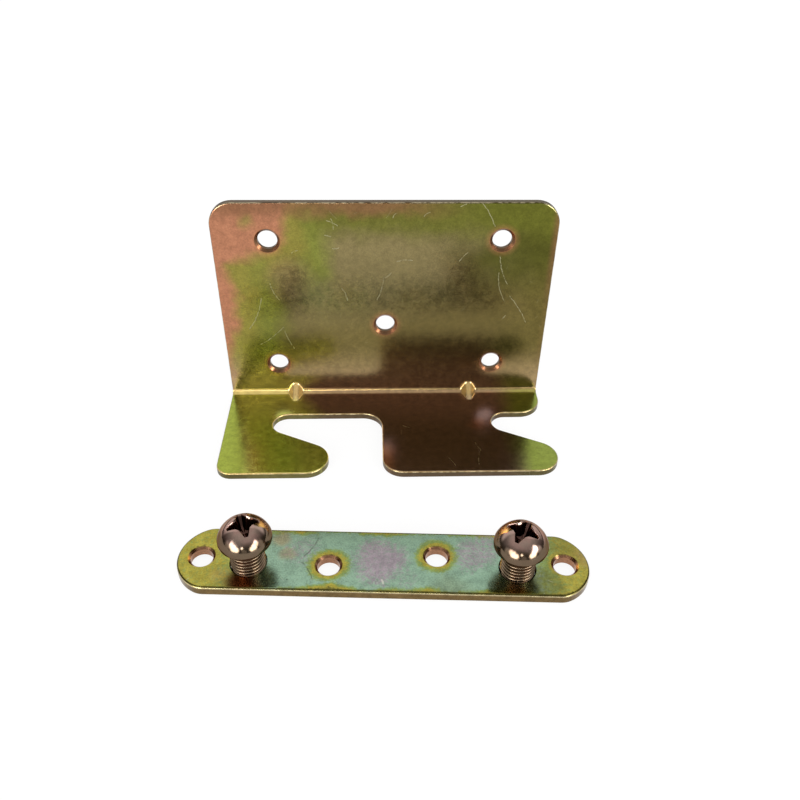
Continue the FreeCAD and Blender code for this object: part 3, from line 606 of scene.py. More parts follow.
def flange_film(tree, finish, place):
    """Colour of the hook flange: leaf green at its outer ends, umber between, copper at the heel."""
    around = warped(tree, place, 0.10, 4.0)
    x, y, _ = parts_of(tree, around)
    inward = plus(tree, x, product(tree, minus(tree, y, 37.0), 0.6))
    middle = product(tree, ease(tree, inward, -14.0, -3.0), ease(tree, x, 41.0, 33.0))
    mossy = plus(tree, x, product(tree, y, 0.19))
    mossy = product(tree, ease(tree, mossy, -31.0, -27.0), ease(tree, x, 20.0, 0.0))
    shade = tinted(tree, opaque(finish.leaf), finish.moss, mossy)
    shade = tinted(tree, shade, finish.sage, ease(tree, x, 10.0, 30.0))
    shade = tinted(tree, shade, finish.umber, middle)
    heel = product(tree, soft_spot(tree, around, (0.4, 35.0, 1.8), 1.0, 9.0), ease(tree, x, 5.0, 1.5))
    slot = soft_spot(tree, around, (27.5, 50.0, 1.8), 0.5, 4.0)
    warm = maths(tree, "MAXIMUM", product(tree, heel, 0.6), product(tree, slot, 0.3))
    shade = tinted(tree, shade, finish.copper, warm)
    gold = soft_spot(tree, around, (-28.0, 57.5, 1.8), 0.5, 5.0)
    return tinted(tree, shade, finish.gold, gold, 0.6)


def hole_distance(tree, finish, place):
    """How far a point of the upright is from the middle of the nearest rail hole."""
    x, _, z = parts_of(tree, place)
    aside = maths(tree, "ABSOLUTE", minus(tree, x, finish.middle_line * MILLIMETRES))
    mirrored = vector_of(tree, aside, 0.0, z)
    half = finish.hole_spacing * MILLIMETRES / 2
    places = ((half, finish.lower_holes), (half, finish.upper_holes), (0.0, finish.middle_hole))
    nearest = BRACKET_HIGH.x - BRACKET_LOW.x
    for across, height in places:
        gap = far_from(tree, mirrored, (across, 0.0, height * MILLIMETRES))
        nearest = maths(tree, "MINIMUM", gap, nearest)
    return nearest


def sheared_edge(tree, place, facing):
    """Mask of the sheet's cut walls, which face sideways or stand out of their flange's plane."""
    _, _, height = parts_of(tree, place)
    x, y, z = parts_of(tree, facing)
    low = product(tree, y, maths(tree, "LESS_THAN", height, FLANGE_TOP))
    high = product(tree, z, maths(tree, "GREATER_THAN", height, UPRIGHT_FOOT))
    return ease(tree, widest(tree, [x, low, high]), 0.45, 0.8)


def off_bend(tree, y, z):
    """Mask that leaves out the inside of the bend."""
    before = maths(tree, "LESS_THAN", y, BEND_FRONT)
    above = maths(tree, "GREATER_THAN", z, BEND_TOP)
    return maths(tree, "MAXIMUM", before, above)


def bend_highlights(tree, finish, place, facing):
    """Masks of a painted highlight inside the bend, stronger at its left, and over the two darts."""
    x, _, z = parts_of(tree, place)
    _, forward, up = parts_of(tree, facing)
    bend = product(tree, ease(tree, up, 0.10, 0.35), ease(tree, forward, 0.10, 0.35))
    bend = product(tree, bend, ease(tree, z, 6.5, 5.0))
    bend = product(tree, bend, between(tree, ease(tree, x, -34.0, -10.0), 0.8, 0.36))
    foot = BRACKET_HIGH.y - finish.sheet * MILLIMETRES - 1.0
    darts = widest(tree, (soft_spot(tree, place, (across * MILLIMETRES, foot, 3.0), 1.6, 3.2)
                          for across in (finish.left_dart, finish.right_dart)))
    return bend, darts


def bracket_colour(tree, finish, place, facing):
    """Films of both flanges, holes, cut walls and edges, with painted highlights on the edges, bend and
    darts, and masks of the walls and of the bend and dart highlight.
    """
    _, y, z = parts_of(tree, place)
    upright = ease(tree, z, 2.0, 3.0)
    shade = mix(tree, upright, flange_film(tree, finish, place), upright_film(tree, finish, place))
    hole = hole_distance(tree, finish, place)
    halo = product(tree, ease(tree, hole, HALO_REACH, 2.9), 0.3)
    halo = maths(tree, "MAXIMUM", halo, ease(tree, hole, 3.5, 3.2))
    shade = tinted(tree, shade, finish.copper, halo, upright, 0.9)
    mouths = product(tree, ease(tree, hole, HOLE_MOUTH, 3.2), upright)
    shade = tinted(tree, shade, finish.mouth, mouths, 0.85)
    _, forward, up = parts_of(tree, facing)
    edges = place_group(tree, *WORN_EDGES, {"Upward": between(tree, upright, up, forward)})
    cut = sheared_edge(tree, place, facing)
    shade = tinted(tree, shade, finish.cut_edge, cut, 0.9)
    # Painted highlight along the rounded edges, broken up and kept off the holes and out of the bend
    rubbed = maths(tree, "MAXIMUM", edges["Highlighted"], product(tree, edges["Rolled"], 0.5))
    broken = ease(tree, noise(tree, place, 0.8, 3.0), 0.36, 0.62)
    clear = maths(tree, "GREATER_THAN", hole, HOLE_MOUTH)
    rubbed = product(tree, rubbed, broken, clear, off_bend(tree, y, z))
    shade = tinted(tree, shade, finish.edge_highlight, rubbed, 0.9)
    # Painted highlight on the bend and darts. Where it lies, the metal is also turned down so that it
    # reads brighter
    bend, darts = bend_highlights(tree, finish, place, facing)
    thin = maths(tree, "MAXIMUM", bend, product(tree, darts, 0.35))
    stretched = maths(tree, "MAXIMUM", bend, product(tree, darts, 0.6))
    return tinted(tree, shade, finish.bend_and_dart_highlight, stretched), cut, thin


def leaning_normal(tree, finish, z):
    """The normal, tipped up over the upright as if the sheet had sprung back a little."""
    tip = vector_of(tree, 0.0, 0.0, product(tree, ease(tree, z, 3.5, 8.0), math.tan(finish.lean)))
    tip = node(tree, "ShaderNodeVectorTransform", {0: tip}, vector_type="VECTOR", convert_from="OBJECT",
               convert_to="WORLD").outputs[0]
    normal = node(tree, "ShaderNodeNewGeometry").outputs["Normal"]
    return vector_maths(tree, "NORMALIZE", vector_maths(tree, "ADD", normal, tip))


def bracket_plating(finish):
    """Green, gold and salmon passivation with scratches, coppery holes and cut edges, and painted light
    on the edges, bend, darts and foot.
    """
    material, tree, surface = new_material("bracket_plating")
    place, facing = object_millimetres(tree)
    x, y, z = parts_of(tree, place)
    sheet = vector_of(tree, x, plus(tree, z, y))
    shade, cut, thin = bracket_colour(tree, finish, place, facing)
    grain = place_group(tree, *GRAIN, {"Vector": place, "Speck Size": 0.05})
    shade = darkened(tree, shade, grain, 0.36, 0.3)
    small = handling(tree, sheet, 0.12, 0.10)
    scuffs = maths(tree, "MAXIMUM", sheet_scratches(tree, finish, sheet), product(tree, small, 0.4))
    front = maths(tree, "LESS_THAN", y, BRACKET_HIGH.y - finish.sheet * MILLIMETRES / 2.0)
    scuffs = product(tree, scuffs, front)
    shade = tinted(tree, shade, finish.scuff, scuffs, 0.7)
    rough = plus(tree, finish.roughness - 0.03, product(tree, grain["Mottle"], 0.06))
    rough = plus(tree, rough, product(tree, maths(tree, "MAXIMUM", cut, scuffs), 0.14))
    bump = node(tree, "ShaderNodeBump", {
        "Height": grain["Height"], "Strength": 0.24, "Distance": GRAIN_DEPTH,
        "Normal": leaning_normal(tree, finish, z)})
    # Less metal where the bend and darts carry their painted highlight, which brightens it
    metal = minus(tree, 1.0, product(tree, thin, 0.4))
    shader = node(tree, "ShaderNodeBsdfPrincipled", {
        "Base Color": shade, "Metallic": metal, "Roughness": rough, "Normal": bump.outputs["Normal"]})
    tree.links.new(shader.outputs["BSDF"], surface)
    return material


class FASTENER_OT_finish_bracket(bpy.types.Operator):
    """Plate the folded hook bracket"""
    bl_idname = "fastener.finish_bracket"
    bl_label = "Finish Hook Bracket"

    def execute(self, context):
        dress(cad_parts["hook_bracket"], bracket_plating(context.scene.bracket_finish))
        return {"FINISHED"}


# Post plate


# Patches on the plate as along, across, reach and strength
LILAC_PATCHES = ((-18.7, 2.6, 8.0, 0.45), (-0.6, -0.3, 10.0, 1.0), (21.3, 2.3, 8.0, 0.7),
                 (24.4, 6.5, 5.0, 0.6), (6.0, -5.0, 6.0, 0.35))
AMBER_PATCHES = ((-24.2, 6.1, 3.4, 0.5), (-22.2, 1.5, 2.8, 0.4), (46.5, 2.0, 4.0, 0.5),
                 (-37.0, -5.0, 3.0, 0.3))
# Painted shade towards the plate's right end and its front
PAINTED_SHADE_PATCHES = ((36.0, -6.0, 9.0, 0.6), (41.0, 6.0, 9.0, 0.45), (16.0, -9.0, 7.0, 0.35),
                 (28.0, -8.0, 6.0, 0.6))
# Painted reflection of each screw, in front of it
SCREW_REFLECTION_PATCHES = ((-31.0, -6.8, 6.0, 1.0), (30.0, -8.0, 3.4, 0.6))

# Scratches on the plate as two ends, each along and across, and a bow
PLATE_GRIME = (((-18.6, -1.1), (-15.8, -5.7), 0.06), ((-18.2, 0.8), (-15.5, 6.5), -0.06))
PLATE_NICKS = (((-0.05, -5.6), (0.3, -6.8), 0.0), ((17.6, 5.3), (18.0, 5.6), 0.0))


def plate_rim(tree, finish, straight):
    """How far a point lies in from the plate's outline."""
    x, y, _ = parts_of(tree, straight)
    centre = finish.end_centre * MILLIMETRES
    beyond = vector_of(tree, maths(tree, "MAXIMUM", maths(tree, "ABSOLUTE", x), centre), y)
    end = minus(tree, finish.end_radius * MILLIMETRES, far_from(tree, beyond, (centre, 0.0, 0.0)))
    side = minus(tree, finish.half_width * MILLIMETRES, maths(tree, "ABSOLUTE", y))
    return maths(tree, "MINIMUM", end, side)


def plate_hole(tree, finish, straight):
    """How far a point lies from the middle of the nearest countersunk hole."""
    x, y, _ = parts_of(tree, straight)
    folded = vector_of(tree, maths(tree, "ABSOLUTE", x), product(tree, y, maths(tree, "SIGN", x)))
    end = far_from(tree, folded, (finish.end_hole * MILLIMETRES, 0.0, 0.0))
    inner = far_from(tree, folded, (finish.inner_hole * MILLIMETRES, finish.stagger * MILLIMETRES, 0.0))
    return maths(tree, "MINIMUM", end, inner)


def on_plate(tree, around, patches):
    """Mask of soft patches on the plate's top."""
    top = millimetres("post_plate")[1].z
    spots = []
    for along, across, reach, part in patches:
        spot = soft_spot(tree, around, (along, across, top), 0.25 * reach, reach)
        spots.append(product(tree, spot, part))
    return widest(tree, spots)


def plate_film(tree, finish, straight):
    """Colour of the plate's top: teal with lilac and amber patches, gold at its ends and holes, painted
    shade towards the right end and the front, and a painted reflection in front of each screw.
    """
    around = warped(tree, straight, 0.16, 5.0)
    x, _, _ = parts_of(tree, around)
    fine = minus(tree, noise(tree, straight, 1.3, 4.0), 0.5)
    near_rim = ease(tree, plate_rim(tree, finish, around), -1.0, 2.4)
    near_hole = ease(tree, plate_hole(tree, finish, warped(tree, straight, 0.2, 1.4)), 3.0, 6.2)
    near_end = ease(tree, maths(tree, "ABSOLUTE", minus(tree, x, 2.5)), 42.0, 26.0)
    film = maths(tree, "MINIMUM", plus(tree, 0.26, product(tree, near_hole, 0.8)),
                 plus(tree, 0.36, product(tree, near_end, 0.7)))
    film = maths(tree, "MINIMUM", plus(tree, 0.1, near_rim), film)
    film = plus(tree, film, product(tree, fine, 0.75))
    lilac = on_plate(tree, around, LILAC_PATCHES)
    mottled = plus(tree, lilac, product(tree, fine, 1.6))
    lilac = product(tree, ease(tree, lilac, 0.0, 0.4), ease(tree, mottled, 0.1, 1.1))
    shade = place_group(tree, *FILM, {
        "Film": film, "Patches": product(tree, lilac, near_hole, 0.85), "Edge": opaque(finish.olive),
        "First": opaque(finish.gold), "Second": opaque(finish.green), "Body": opaque(finish.teal),
        "Patch": opaque(finish.lilac)})["Colour"]
    # Amber patches, then painted shade in olive, then the painted reflection of the screws
    for patches, tint in ((AMBER_PATCHES, finish.amber), (PAINTED_SHADE_PATCHES, finish.olive),
                          (SCREW_REFLECTION_PATCHES, finish.screw_reflection)):
        shade = tinted(tree, shade, tint, on_plate(tree, around, patches))
    return shade


def plate_plating(finish):
    """Teal and lilac passivation that turns gold at the ends and round the holes, with painted shade, a
    painted reflection of the screws and a painted edge highlight.
    """
    material, tree, surface = new_material("plate_plating")
    place, facing = object_millimetres(tree)
    straight = node(tree, "ShaderNodeVectorRotate", {"Vector": place, "Angle": -finish.turn},
                    rotation_type="Z_AXIS").outputs[0]
    shade = plate_film(tree, finish, straight)
    _, _, up = parts_of(tree, facing)
    inside = ease(tree, plate_hole(tree, finish, straight), 3.3, 2.9)
    shade = tinted(tree, shade, finish.hole_wall, inside)
    outline = maths(tree, "LESS_THAN", plate_rim(tree, finish, straight), 1.2)
    edges = place_group(tree, *WORN_EDGES, {"Upward": up})
    shade = tinted(tree, shade, finish.cut_edge, ease(tree, up, 0.3, 0.1), outline)
    shade = tinted(tree, shade, finish.rolled, edges["Rolled"], outline, 0.9)
    # Painted highlight on the lower part of the rounded edge
    shade = tinted(tree, shade, finish.edge_highlight, edges["Highlighted"], outline, 0.85)
    grain = place_group(tree, *GRAIN, {"Vector": place, "Speck Size": 0.09})
    shade = darkened(tree, shade, grain, 0.55, 0.55)
    flat = vector_maths(tree, "MULTIPLY", straight, (1.0, 1.0, 0.0))
    grime = scratches(tree, flat, PLATE_GRIME, 0.22)
    shade = tinted(tree, shade, finish.grime, grime, 0.6)
    small = handling(tree, flat, 0.2, 0.10)
    scuffs = maths(tree, "MAXIMUM", scratches(tree, flat, PLATE_NICKS, 0.3), product(tree, small, 0.5))
    shade = tinted(tree, shade, finish.scuff, scuffs, 0.8)
    rough = plus(tree, finish.roughness - 0.04, product(tree, grain["Mottle"], 0.08))
    bump = node(tree, "ShaderNodeBump", {
        "Height": grain["Height"], "Strength": 0.22, "Distance": GRAIN_DEPTH})
    shader = node(tree, "ShaderNodeBsdfPrincipled", {
        "Base Color": shade, "Metallic": 1.0, "Roughness": rough, "Normal": bump.outputs["Normal"]})
    tree.links.new(shader.outputs["BSDF"], surface)
    return material


class FASTENER_OT_finish_plate(bpy.types.Operator):
    """Plate the flat post plate"""
    bl_idname = "fastener.finish_plate"
    bl_label = "Finish Post Plate"

    def execute(self, context):
        dress(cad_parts["post_plate"], plate_plating(context.scene.plate_finish))
        return {"FINISHED"}


# Machine screws


def smooth_step(value, low, high):
    """The same rise as ease, for the mesh."""
    t = min(max((value - low) / (high - low), 0.0), 1.0)
    return t * t * (3.0 - 2.0 * t)


# Fine forms of a screw: soft edges and lips, the lobes by the recess, and mesh rings for each
SOFT_EDGE = 0.12 * MM
EDGE_CORNER = 0.035 * MM
LIP = 0.10 * MM
LIP_INSETS = (0.06 * MM, 0.16 * MM)
LIP_DROP = 0.02 * MM
FLOOR_DIP = 0.25 * MM
LOBE_RISE = 0.7 * MM
LOBE_FALL = 1.6 * MM
LOBE_REACH = 2.6 * MM
THREAD_FLANK = (0.12, 0.88)
THREAD_RUNOUT = (0.1 * MM, 0.9 * MM)
ARC_STEPS = 4
ROUND_RINGS = 5
DOME_RINGS = 20
WALL_RINGS = 6
FLOOR_PARTS = (0.7, 0.35)
SEARCH_STEPS = 40
SHARP_ANGLE = math.radians(50)


class ScrewForm:
    """Works out a screw's surface from its sizes, ring by ring, about its own axis."""

    def __init__(self, sizes, tip, head_radius):
        self.sizes = sizes
        self.tip = tip
        self.crown = sizes.seat_height + sizes.head_height
        self.head = head_radius
        rise = sizes.head_height - sizes.rim_height
        self.dome = (head_radius ** 2 + rise ** 2) / (2.0 * rise)
        self.span = sizes.recess_span / 2.0
        self.point = sizes.recess_tip / 2.0
        self.wing = sizes.recess_wing / 2.0
        self.core = sizes.recess_core / 2.0

    def angles(self):
        """Directions round the axis, so that the recess corners fall on vertices."""
        stops = (0.0, math.atan2(self.point, self.span), math.atan2(self.wing, self.core), math.pi / 4)
        octant = []
        for start, end in zip(stops, stops[1:]):
            octant += [start + (end - start) * step / ARC_STEPS for step in range(ARC_STEPS)]
        quarter = octant + [math.pi / 2 - angle for angle in reversed(octant[1:] + [math.pi / 4])]
        return [angle + turn * math.pi / 2 for turn in range(4) for angle in quarter]

    def mouth(self, angle):
        """How far the recess reaches at the crown's level in one direction."""
        x, y = sorted((abs(math.cos(angle)), abs(math.sin(angle))), reverse=True)
        if y * self.span <= self.point * x:
            return self.span / x
        if y * self.core <= self.wing * x:
            slope = (self.wing - self.point) / (self.core - self.span)
            return (self.point - slope * self.span) / (y - slope * x)
        return (self.core + self.wing) / (x + y)

    def dome_height(self, radius):
        """The dome's level at a distance from the axis."""
        return self.crown - self.dome + math.sqrt(self.dome ** 2 - radius ** 2)

    def wall_height(self, radius, mouth):
        """The recess's slanted wall, which narrows to its floor."""
        part = (1.0 - radius / mouth) / (1.0 - self.sizes.recess_floor)
        return self.crown - self.sizes.recess_depth * min(max(part, 0.0), 1.0)

    def brim(self, mouth):
        """Where the wall comes out of the dome."""
        low, high = 0.0, mouth
        for _ in range(SEARCH_STEPS):
            middle = (low + high) / 2.0
            if self.wall_height(middle, mouth) < self.dome_height(middle):
                low = middle
            else:
                high = middle
        return low

    def thread_radius(self, angle, height):
        """The thread's flank, rounded at crest and root, that runs out under the head."""
        sizes = self.sizes
        turns = (height / sizes.thread_pitch - angle / math.tau) % 1.0
        crest = smooth_step(abs(turns - 0.5) * 2.0, *THREAD_FLANK)
        runout = smooth_step(sizes.seat_height - height, *THREAD_RUNOUT)
        radius = sizes.shank_radius - sizes.thread_depth * (1.0 - crest) * runout
        bevel = sizes.shank_radius - sizes.tip_chamfer + height - self.tip
        return min(radius, bevel)

    def rings(self):
        """Every ring from the tip to the recess floor, as a function of angle to radius and height."""
        sizes = self.sizes
        seat = sizes.seat_height
        rim = seat + sizes.rim_height
        turn = sizes.rim_round
        steps = round((seat - self.tip) / sizes.thread_pitch * sizes.rings_per_turn)
        for step in range(steps + 1):
            level = self.tip + (seat - self.tip) * step / steps
            yield lambda angle, level=level: (self.thread_radius(angle, level), level)
        yield lambda angle: ((sizes.shank_radius + self.head - turn) / 2.0, seat)
        for step in range(ROUND_RINGS + 1):
            bend = math.pi / 2 * step / ROUND_RINGS
            radius = self.head - turn + turn * math.sin(bend)
            level = seat + turn - turn * math.cos(bend)
            yield lambda angle, radius=radius, level=level: (radius, level)
        yield lambda angle: (self.head, rim - SOFT_EDGE)
        soft = self.head - SOFT_EDGE
        corner = (rim - SOFT_EDGE + self.dome_height(soft)) / 2.0
        yield lambda angle: (self.head - EDGE_CORNER, corner)
        for step in range(DOME_RINGS + 1):
            part = step / DOME_RINGS
            yield lambda angle, part=part: self.dome_ring(angle, soft, part)
        for inset in LIP_INSETS:
            yield lambda angle, inset=inset: self.brim_ring(angle, inset)
        for step in range(1, WALL_RINGS + 1):
            part = step / WALL_RINGS
            yield lambda angle, part=part: self.wall_ring(angle, part)
        for part in FLOOR_PARTS:
            yield lambda angle, part=part: self.floor_ring(angle, part)

    def lobe(self, angle, beyond):
        """Metal that the punch pushed up between two wings, by how far beyond the lip it lies."""
        rise = smooth_step(beyond, 0.0, LOBE_RISE) * smooth_step(LOBE_REACH - beyond, 0.0, LOBE_FALL)
        return self.sizes.recess_lobe * math.sin(2.0 * angle) ** 2 * rise

    def dome_ring(self, angle, outer, part):
        """The dome between its edge and the recess's lip."""
        inner = self.brim(self.mouth(angle)) + LIP
        radius = outer + (inner - outer) * part
        return radius, self.dome_height(radius) + self.lobe(angle, radius - inner)

    def brim_ring(self, angle, inset):
        """Rounds the recess's lip."""
        mouth = self.mouth(angle)
        radius = self.brim(mouth) + LIP - inset
        level = min(self.wall_height(radius, mouth), self.dome_height(radius))
        return radius, level - (LIP_DROP if inset < LIP else 0.0)

    def wall_ring(self, angle, part):
        """The recess's wall from the lip down."""
        mouth = self.mouth(angle)
        outer = self.brim(mouth) + LIP - LIP_INSETS[-1]
        radius = outer + (mouth * self.sizes.recess_floor - outer) * part
        return radius, self.wall_height(radius, mouth)

    def floor_ring(self, angle, part):
        """The floor, a shallow cone."""
        radius = self.mouth(angle) * self.sizes.recess_floor * part
        return radius, self.crown - self.sizes.recess_depth - (1.0 - part) * FLOOR_DIP

    def mesh(self, name):
        """One closed mesh of rings, with a vertex at each end of the axis."""
        form = bmesh.new()
        angles = self.angles()
        loops = []
        for ring in self.rings():
            loop = []
            for angle in angles:
                radius, level = ring(angle)
                loop.append(form.verts.new((radius * math.cos(angle), radius * math.sin(angle), level)))
            loops.append(loop)
        for lower, upper in zip(loops, loops[1:]):
            for index, vertex in enumerate(lower):
                after = (index + 1) % len(angles)
                form.faces.new((vertex, lower[after], upper[after], upper[index]))
        bottom = form.verts.new((0.0, 0.0, self.tip))
        top = form.verts.new((0.0, 0.0, self.crown - self.sizes.recess_depth - FLOOR_DIP))
        for index in range(len(angles)):
            after = (index + 1) % len(angles)
            form.faces.new((bottom, loops[0][after], loops[0][index]))
            form.faces.new((top, loops[-1][index], loops[-1][after]))
        for face in form.faces:
            face.smooth = True
        mesh = bpy.data.meshes.new(name)
        form.to_mesh(mesh)
        form.free()
        mesh.set_sharp_from_angle(angle=SHARP_ANGLE)
        return mesh


def recess_depth(tree, form, radius, z):
    """How far a point of the head lies under the dome's surface."""
    dome = form.dome * MILLIMETRES
    inside = maths(tree, "MAXIMUM", minus(tree, dome * dome, product(tree, radius, radius)), 0.0)
    level = plus(tree, maths(tree, "SQRT", inside), form.crown * MILLIMETRES - dome)
    return minus(tree, level, z)


def screw_plating(finish, form):
    """Bright plating with a rose cast on the dome, straw at the rim, and painted shade in the recess
    and the thread's grooves.
    """
    material, tree, surface = new_material("screw_plating")
    place, _ = object_millimetres(tree)
    x, y, z = parts_of(tree, place)
    radius = far_from(tree, vector_of(tree, x, y), (0.0, 0.0, 0.0))
    cloud = noise(tree, place, 0.32, 3.0)
    shade = tinted(tree, opaque(finish.bronze), finish.rose, ease(tree, cloud, 0.4, 0.62))
    rim = ease(tree, plus(tree, radius, cloud), 4.9, 5.9)
    seat = form.sizes.seat_height * MILLIMETRES
    neck = ease(tree, z, seat + 0.2, seat - 0.2)
    shade = tinted(tree, shade, finish.straw, rim, 0.85)
    shade = tinted(tree, shade, finish.brass, neck, 0.7)
    # Painted shade in the thread's grooves
    crest = form.sizes.shank_radius * MILLIMETRES
    groove_shade = product(tree, ease(tree, radius, crest - 0.15, crest - 0.5), neck)
    shade = tinted(tree, shade, finish.recess, groove_shade, 0.8)
    # Painted shade in the cross recess
    recess_shade = ease(tree, recess_depth(tree, form, radius, z), 0.12, 0.7)
    recess_shade = product(tree, recess_shade, ease(tree, radius, 5.2, 4.8), maths(tree, "GREATER_THAN", z, seat + 0.3))
    shade = tinted(tree, shade, finish.recess, recess_shade, 0.9)
    grain = place_group(tree, *GRAIN, {"Vector": place, "Speck Size": 0.06})
    shade = darkened(tree, shade, grain, 0.16, 0.2)
    scuffs = handling(tree, place, 0.3, 0.08)
    rough = plus(tree, finish.roughness, product(tree, grain["Mottle"], 0.05))
    rough = plus(tree, rough, product(tree, scuffs, 0.12))
    rough = plus(tree, rough, product(tree, neck, 0.10))
    height = minus(tree, grain["Height"], product(tree, scuffs, 0.6))
    bump = node(tree, "ShaderNodeBump", {"Height": height, "Strength": 0.12, "Distance": 0.04 * MM})
    shader = node(tree, "ShaderNodeBsdfPrincipled", {
        "Base Color": shade, "Metallic": 1.0, "Roughness": rough, "Normal": bump.outputs["Normal"],
        "Specular Tint": (0.60, 0.48, 0.42, 1.0)})
    tree.links.new(shader.outputs["BSDF"], surface)
    return material


class FASTENER_OT_make_screws(bpy.types.Operator):
    """Thread both machine screws and cut their cross recesses"""
    bl_idname = "fastener.make_screws"
    bl_label = "Make Machine Screws"

    def execute(self, context):
        sizes = context.scene.screw_sizes
        low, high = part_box("left_screw")
        form = ScrewForm(sizes, low.z, (high.x - low.x) / 2.0)
        material = screw_plating(context.scene.screw_finish, form)
        for side, turn in (("left", sizes.left_turn), ("right", sizes.right_turn)):
            low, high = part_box(f"{side}_screw")
            screw = bpy.data.objects.new(f"{side}_machine_screw", form.mesh(f"{side}_machine_screw"))
            context.scene.collection.objects.link(screw)
            screw.location = ((low.x + high.x) / 2.0, (low.y + high.y) / 2.0, 0.0)
            screw.rotation_euler = (0.0, 0.0, turn)
            dress(screw, material)
            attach(screw, f"{side}_screw")
            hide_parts(f"{side}_screw")
        return {"FINISHED"}


# Stage


def floor_paint(settings):
    """Pale floor that reads as white to the eye and to the metal, and keeps the shadows."""
    material, tree, surface = new_material("floor_paint")
    path = node(tree, "ShaderNodeLightPath").outputs
    seen = maths(tree, "MAXIMUM", path["Is Camera Ray"], path["Is Glossy Ray"])
    seen = maths(tree, "MAXIMUM", seen, path["Is Transmission Ray"])
    specks = noise(tree, node(tree, "ShaderNodeTexCoord").outputs["Object"], 40.0, 4.0)
    paint = mix(tree, product(tree, specks, 0.04), opaque(settings.floor_colour), (0.8, 0.8, 0.8, 1.0))
    matt = node(tree, "ShaderNodeBsdfPrincipled", {"Base Color": paint, "Roughness": 0.9,
                                                   "Specular IOR Level": 0.1})
    white = node(tree, "ShaderNodeEmission", {"Color": (1.0, 1.0, 1.0, 1.0), "Strength": 1.0})
    both = node(tree, "ShaderNodeMixShader", {0: product(tree, seen, settings.floor_white),
                                              1: matt.outputs[0], 2: white.outputs[0]})
    tree.links.new(both.outputs[0], surface)
    return material


def make_floor(context, settings):
    """One flat sheet just under the pieces."""
    form = bmesh.new()
    bmesh.ops.create_grid(form, x_segments=4, y_segments=4, size=settings.floor_size / 2.0)
    mesh = bpy.data.meshes.new("floor")
    form.to_mesh(mesh)
    form.free()
    floor = bpy.data.objects.new("floor", mesh)
    floor.location.z = -settings.floor_drop
    context.scene.collection.objects.link(floor)
    dress(floor, floor_paint(settings))


# Windows on the camera's side of the studio: degrees round, degrees up, radius in degrees and share
# of the light. The last three are faint
WINDOWS = ((-27.0, 11.0, 15.0, 1.0), (-38.0, 13.0, 19.0, 1.0), (-50.0, 17.0, 15.0, 0.8),
           (35.0, 11.0, 14.0, 1.0), (45.0, 14.0, 17.0, 1.0), (57.0, 21.0, 15.0, 0.8),
           (-5.0, 20.0, 6.0, 1.0), (-66.0, 8.0, 17.0, 0.2), (3.0, 5.0, 14.0, 0.14),
           (74.0, 8.0, 17.0, 0.2))


def make_world(context, settings):
    """Studio: walls that lighten to the ceiling, a backdrop and windows. The eye sees only white."""
    world = bpy.data.worlds.new("studio")
    world.use_nodes = True
    tree = world.node_tree
    tree.nodes.clear()
    way = node(tree, "ShaderNodeTexCoord").outputs["Generated"]
    _, back, up = parts_of(tree, way)
    room = tinted(tree, opaque(settings.walls), settings.ceiling, ease(tree, up, 0.12, 0.95))
    screen = product(tree, ease(tree, back, 0.20, 0.50), ease(tree, up, 0.95, 0.85))
    screen = product(tree, screen, ease(tree, up, 0.08, 0.26))
    room = tinted(tree, room, settings.backdrop, screen)
    panes = []
    for across, height, radius, part in WINDOWS:
        level = math.cos(math.radians(height))
        around = math.radians(across)
        place = (math.sin(around) * level, -math.cos(around) * level, math.sin(math.radians(height)))
        pane = soft_spot(tree, way, place, 0.4 * math.radians(radius), math.radians(radius))
        panes.append(product(tree, pane, part))
    lit = widest(tree, panes)
    eye = node(tree, "ShaderNodeLightPath").outputs["Is Camera Ray"]
    room = mix(tree, maths(tree, "MAXIMUM", lit, eye), room, (1.0, 1.0, 1.0, 1.0))
    lit = product(tree, lit, minus(tree, 1.0, eye), settings.windows - 1.0)
    light = node(tree, "ShaderNodeBackground", {"Color": room, "Strength": plus(tree, lit, 1.0)})
    node(tree, "ShaderNodeOutputWorld", {"Surface": light.outputs[0]})
    context.scene.world = world


def add_lamp(context, settings):
    """A wide soft lamp over the floor, which the metal does not mirror."""
    lamp = bpy.data.lights.new("top_lamp", "AREA")
    lamp.size = settings.lamp_size
    lamp.energy = settings.top_lamp
    holder = bpy.data.objects.new("top_lamp", lamp)
    holder.location.z = settings.lamp_height
    holder.visible_glossy = False
    context.scene.collection.objects.link(holder)


SENSOR_WIDTH = 36.0
CLIP_START = 5.0 * MM


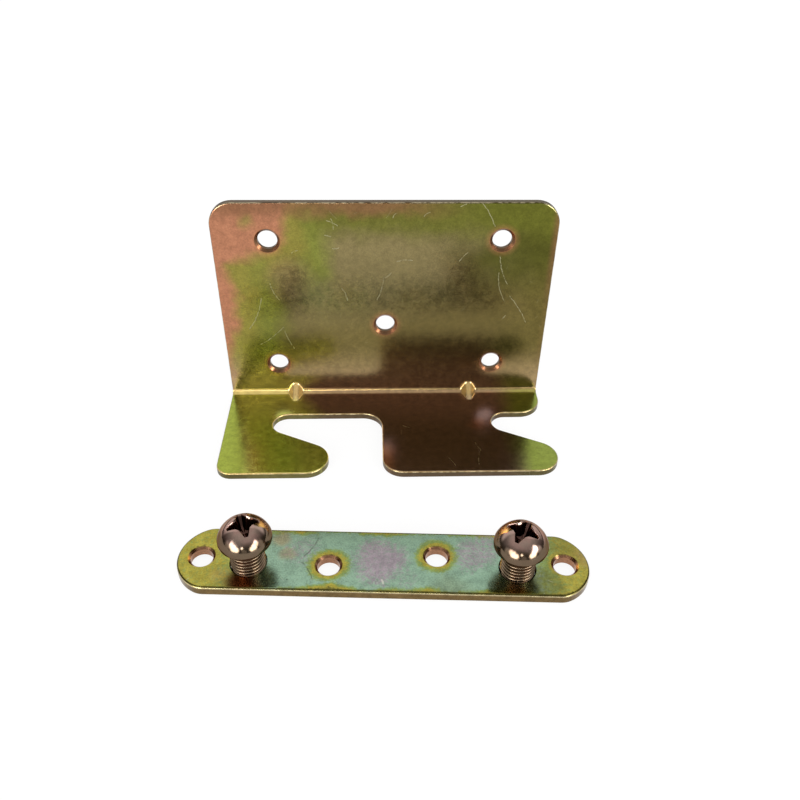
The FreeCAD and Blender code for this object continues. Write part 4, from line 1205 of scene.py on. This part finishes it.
def add_camera(context, settings):
    """The photograph's viewpoint."""
    camera = bpy.data.cameras.new("camera")
    camera.sensor_width = SENSOR_WIDTH
    camera.lens = settings.lens
    camera.clip_start = CLIP_START
    holder = bpy.data.objects.new("camera", camera)
    holder.location = settings.camera_place
    holder.rotation_euler = settings.camera_turn
    context.scene.collection.objects.link(holder)
    context.scene.camera = holder


class FASTENER_OT_set_stage(bpy.types.Operator):
    """Lay the floor, hang the lamp and place the camera"""
    bl_idname = "fastener.set_stage"
    bl_label = "Set Stage"

    def execute(self, context):
        settings = context.scene.fastener_stage
        make_floor(context, settings)
        make_world(context, settings)
        add_lamp(context, settings)
        add_camera(context, settings)
        context.scene.view_settings.view_transform = "Standard"
        return {"FINISHED"}


# Sidebar and registration


class FASTENER_PT_sidebar(bpy.types.Panel):
    """Steps and sizes of the fastener"""
    bl_label = "Bed Rail Fastener"
    bl_idname = "FASTENER_PT_sidebar"
    bl_space_type = "VIEW_3D"
    bl_region_type = "UI"
    bl_category = "Fastener"

    def draw(self, context):
        for operator in STEPS:
            self.layout.operator(operator.bl_idname)
        for owner in SETTINGS:
            box = self.layout.box()
            box.label(text=SETTINGS[owner].__doc__)
            for key in SETTINGS[owner].__annotations__:
                box.prop(getattr(context.scene, owner), key)


STEPS = (FASTENER_OT_finish_bracket, FASTENER_OT_finish_plate, FASTENER_OT_make_screws,
         FASTENER_OT_set_stage)
SETTINGS = {"bracket_finish": BracketFinish, "plate_finish": PlateFinish, "screw_sizes": ScrewSizes,
            "screw_finish": ScrewFinish, "fastener_stage": StageSettings}


def register():
    """Registers the settings, the steps and the panel."""
    for made in (*SETTINGS.values(), *STEPS, FASTENER_PT_sidebar):
        bpy.utils.register_class(made)
    for owner, made in SETTINGS.items():
        setattr(bpy.types.Scene, owner, PointerProperty(type=made))


def unregister():
    """Takes them out again."""
    for owner in SETTINGS:
        delattr(bpy.types.Scene, owner)
    for made in (FASTENER_PT_sidebar, *STEPS, *SETTINGS.values()):
        bpy.utils.unregister_class(made)


def main():
    """Dresses the part and sets the stage."""
    register()
    bpy.ops.fastener.finish_bracket()
    bpy.ops.fastener.finish_plate()
    bpy.ops.fastener.make_screws()
    bpy.ops.fastener.set_stage()


if __name__ == "__main__":
    main()
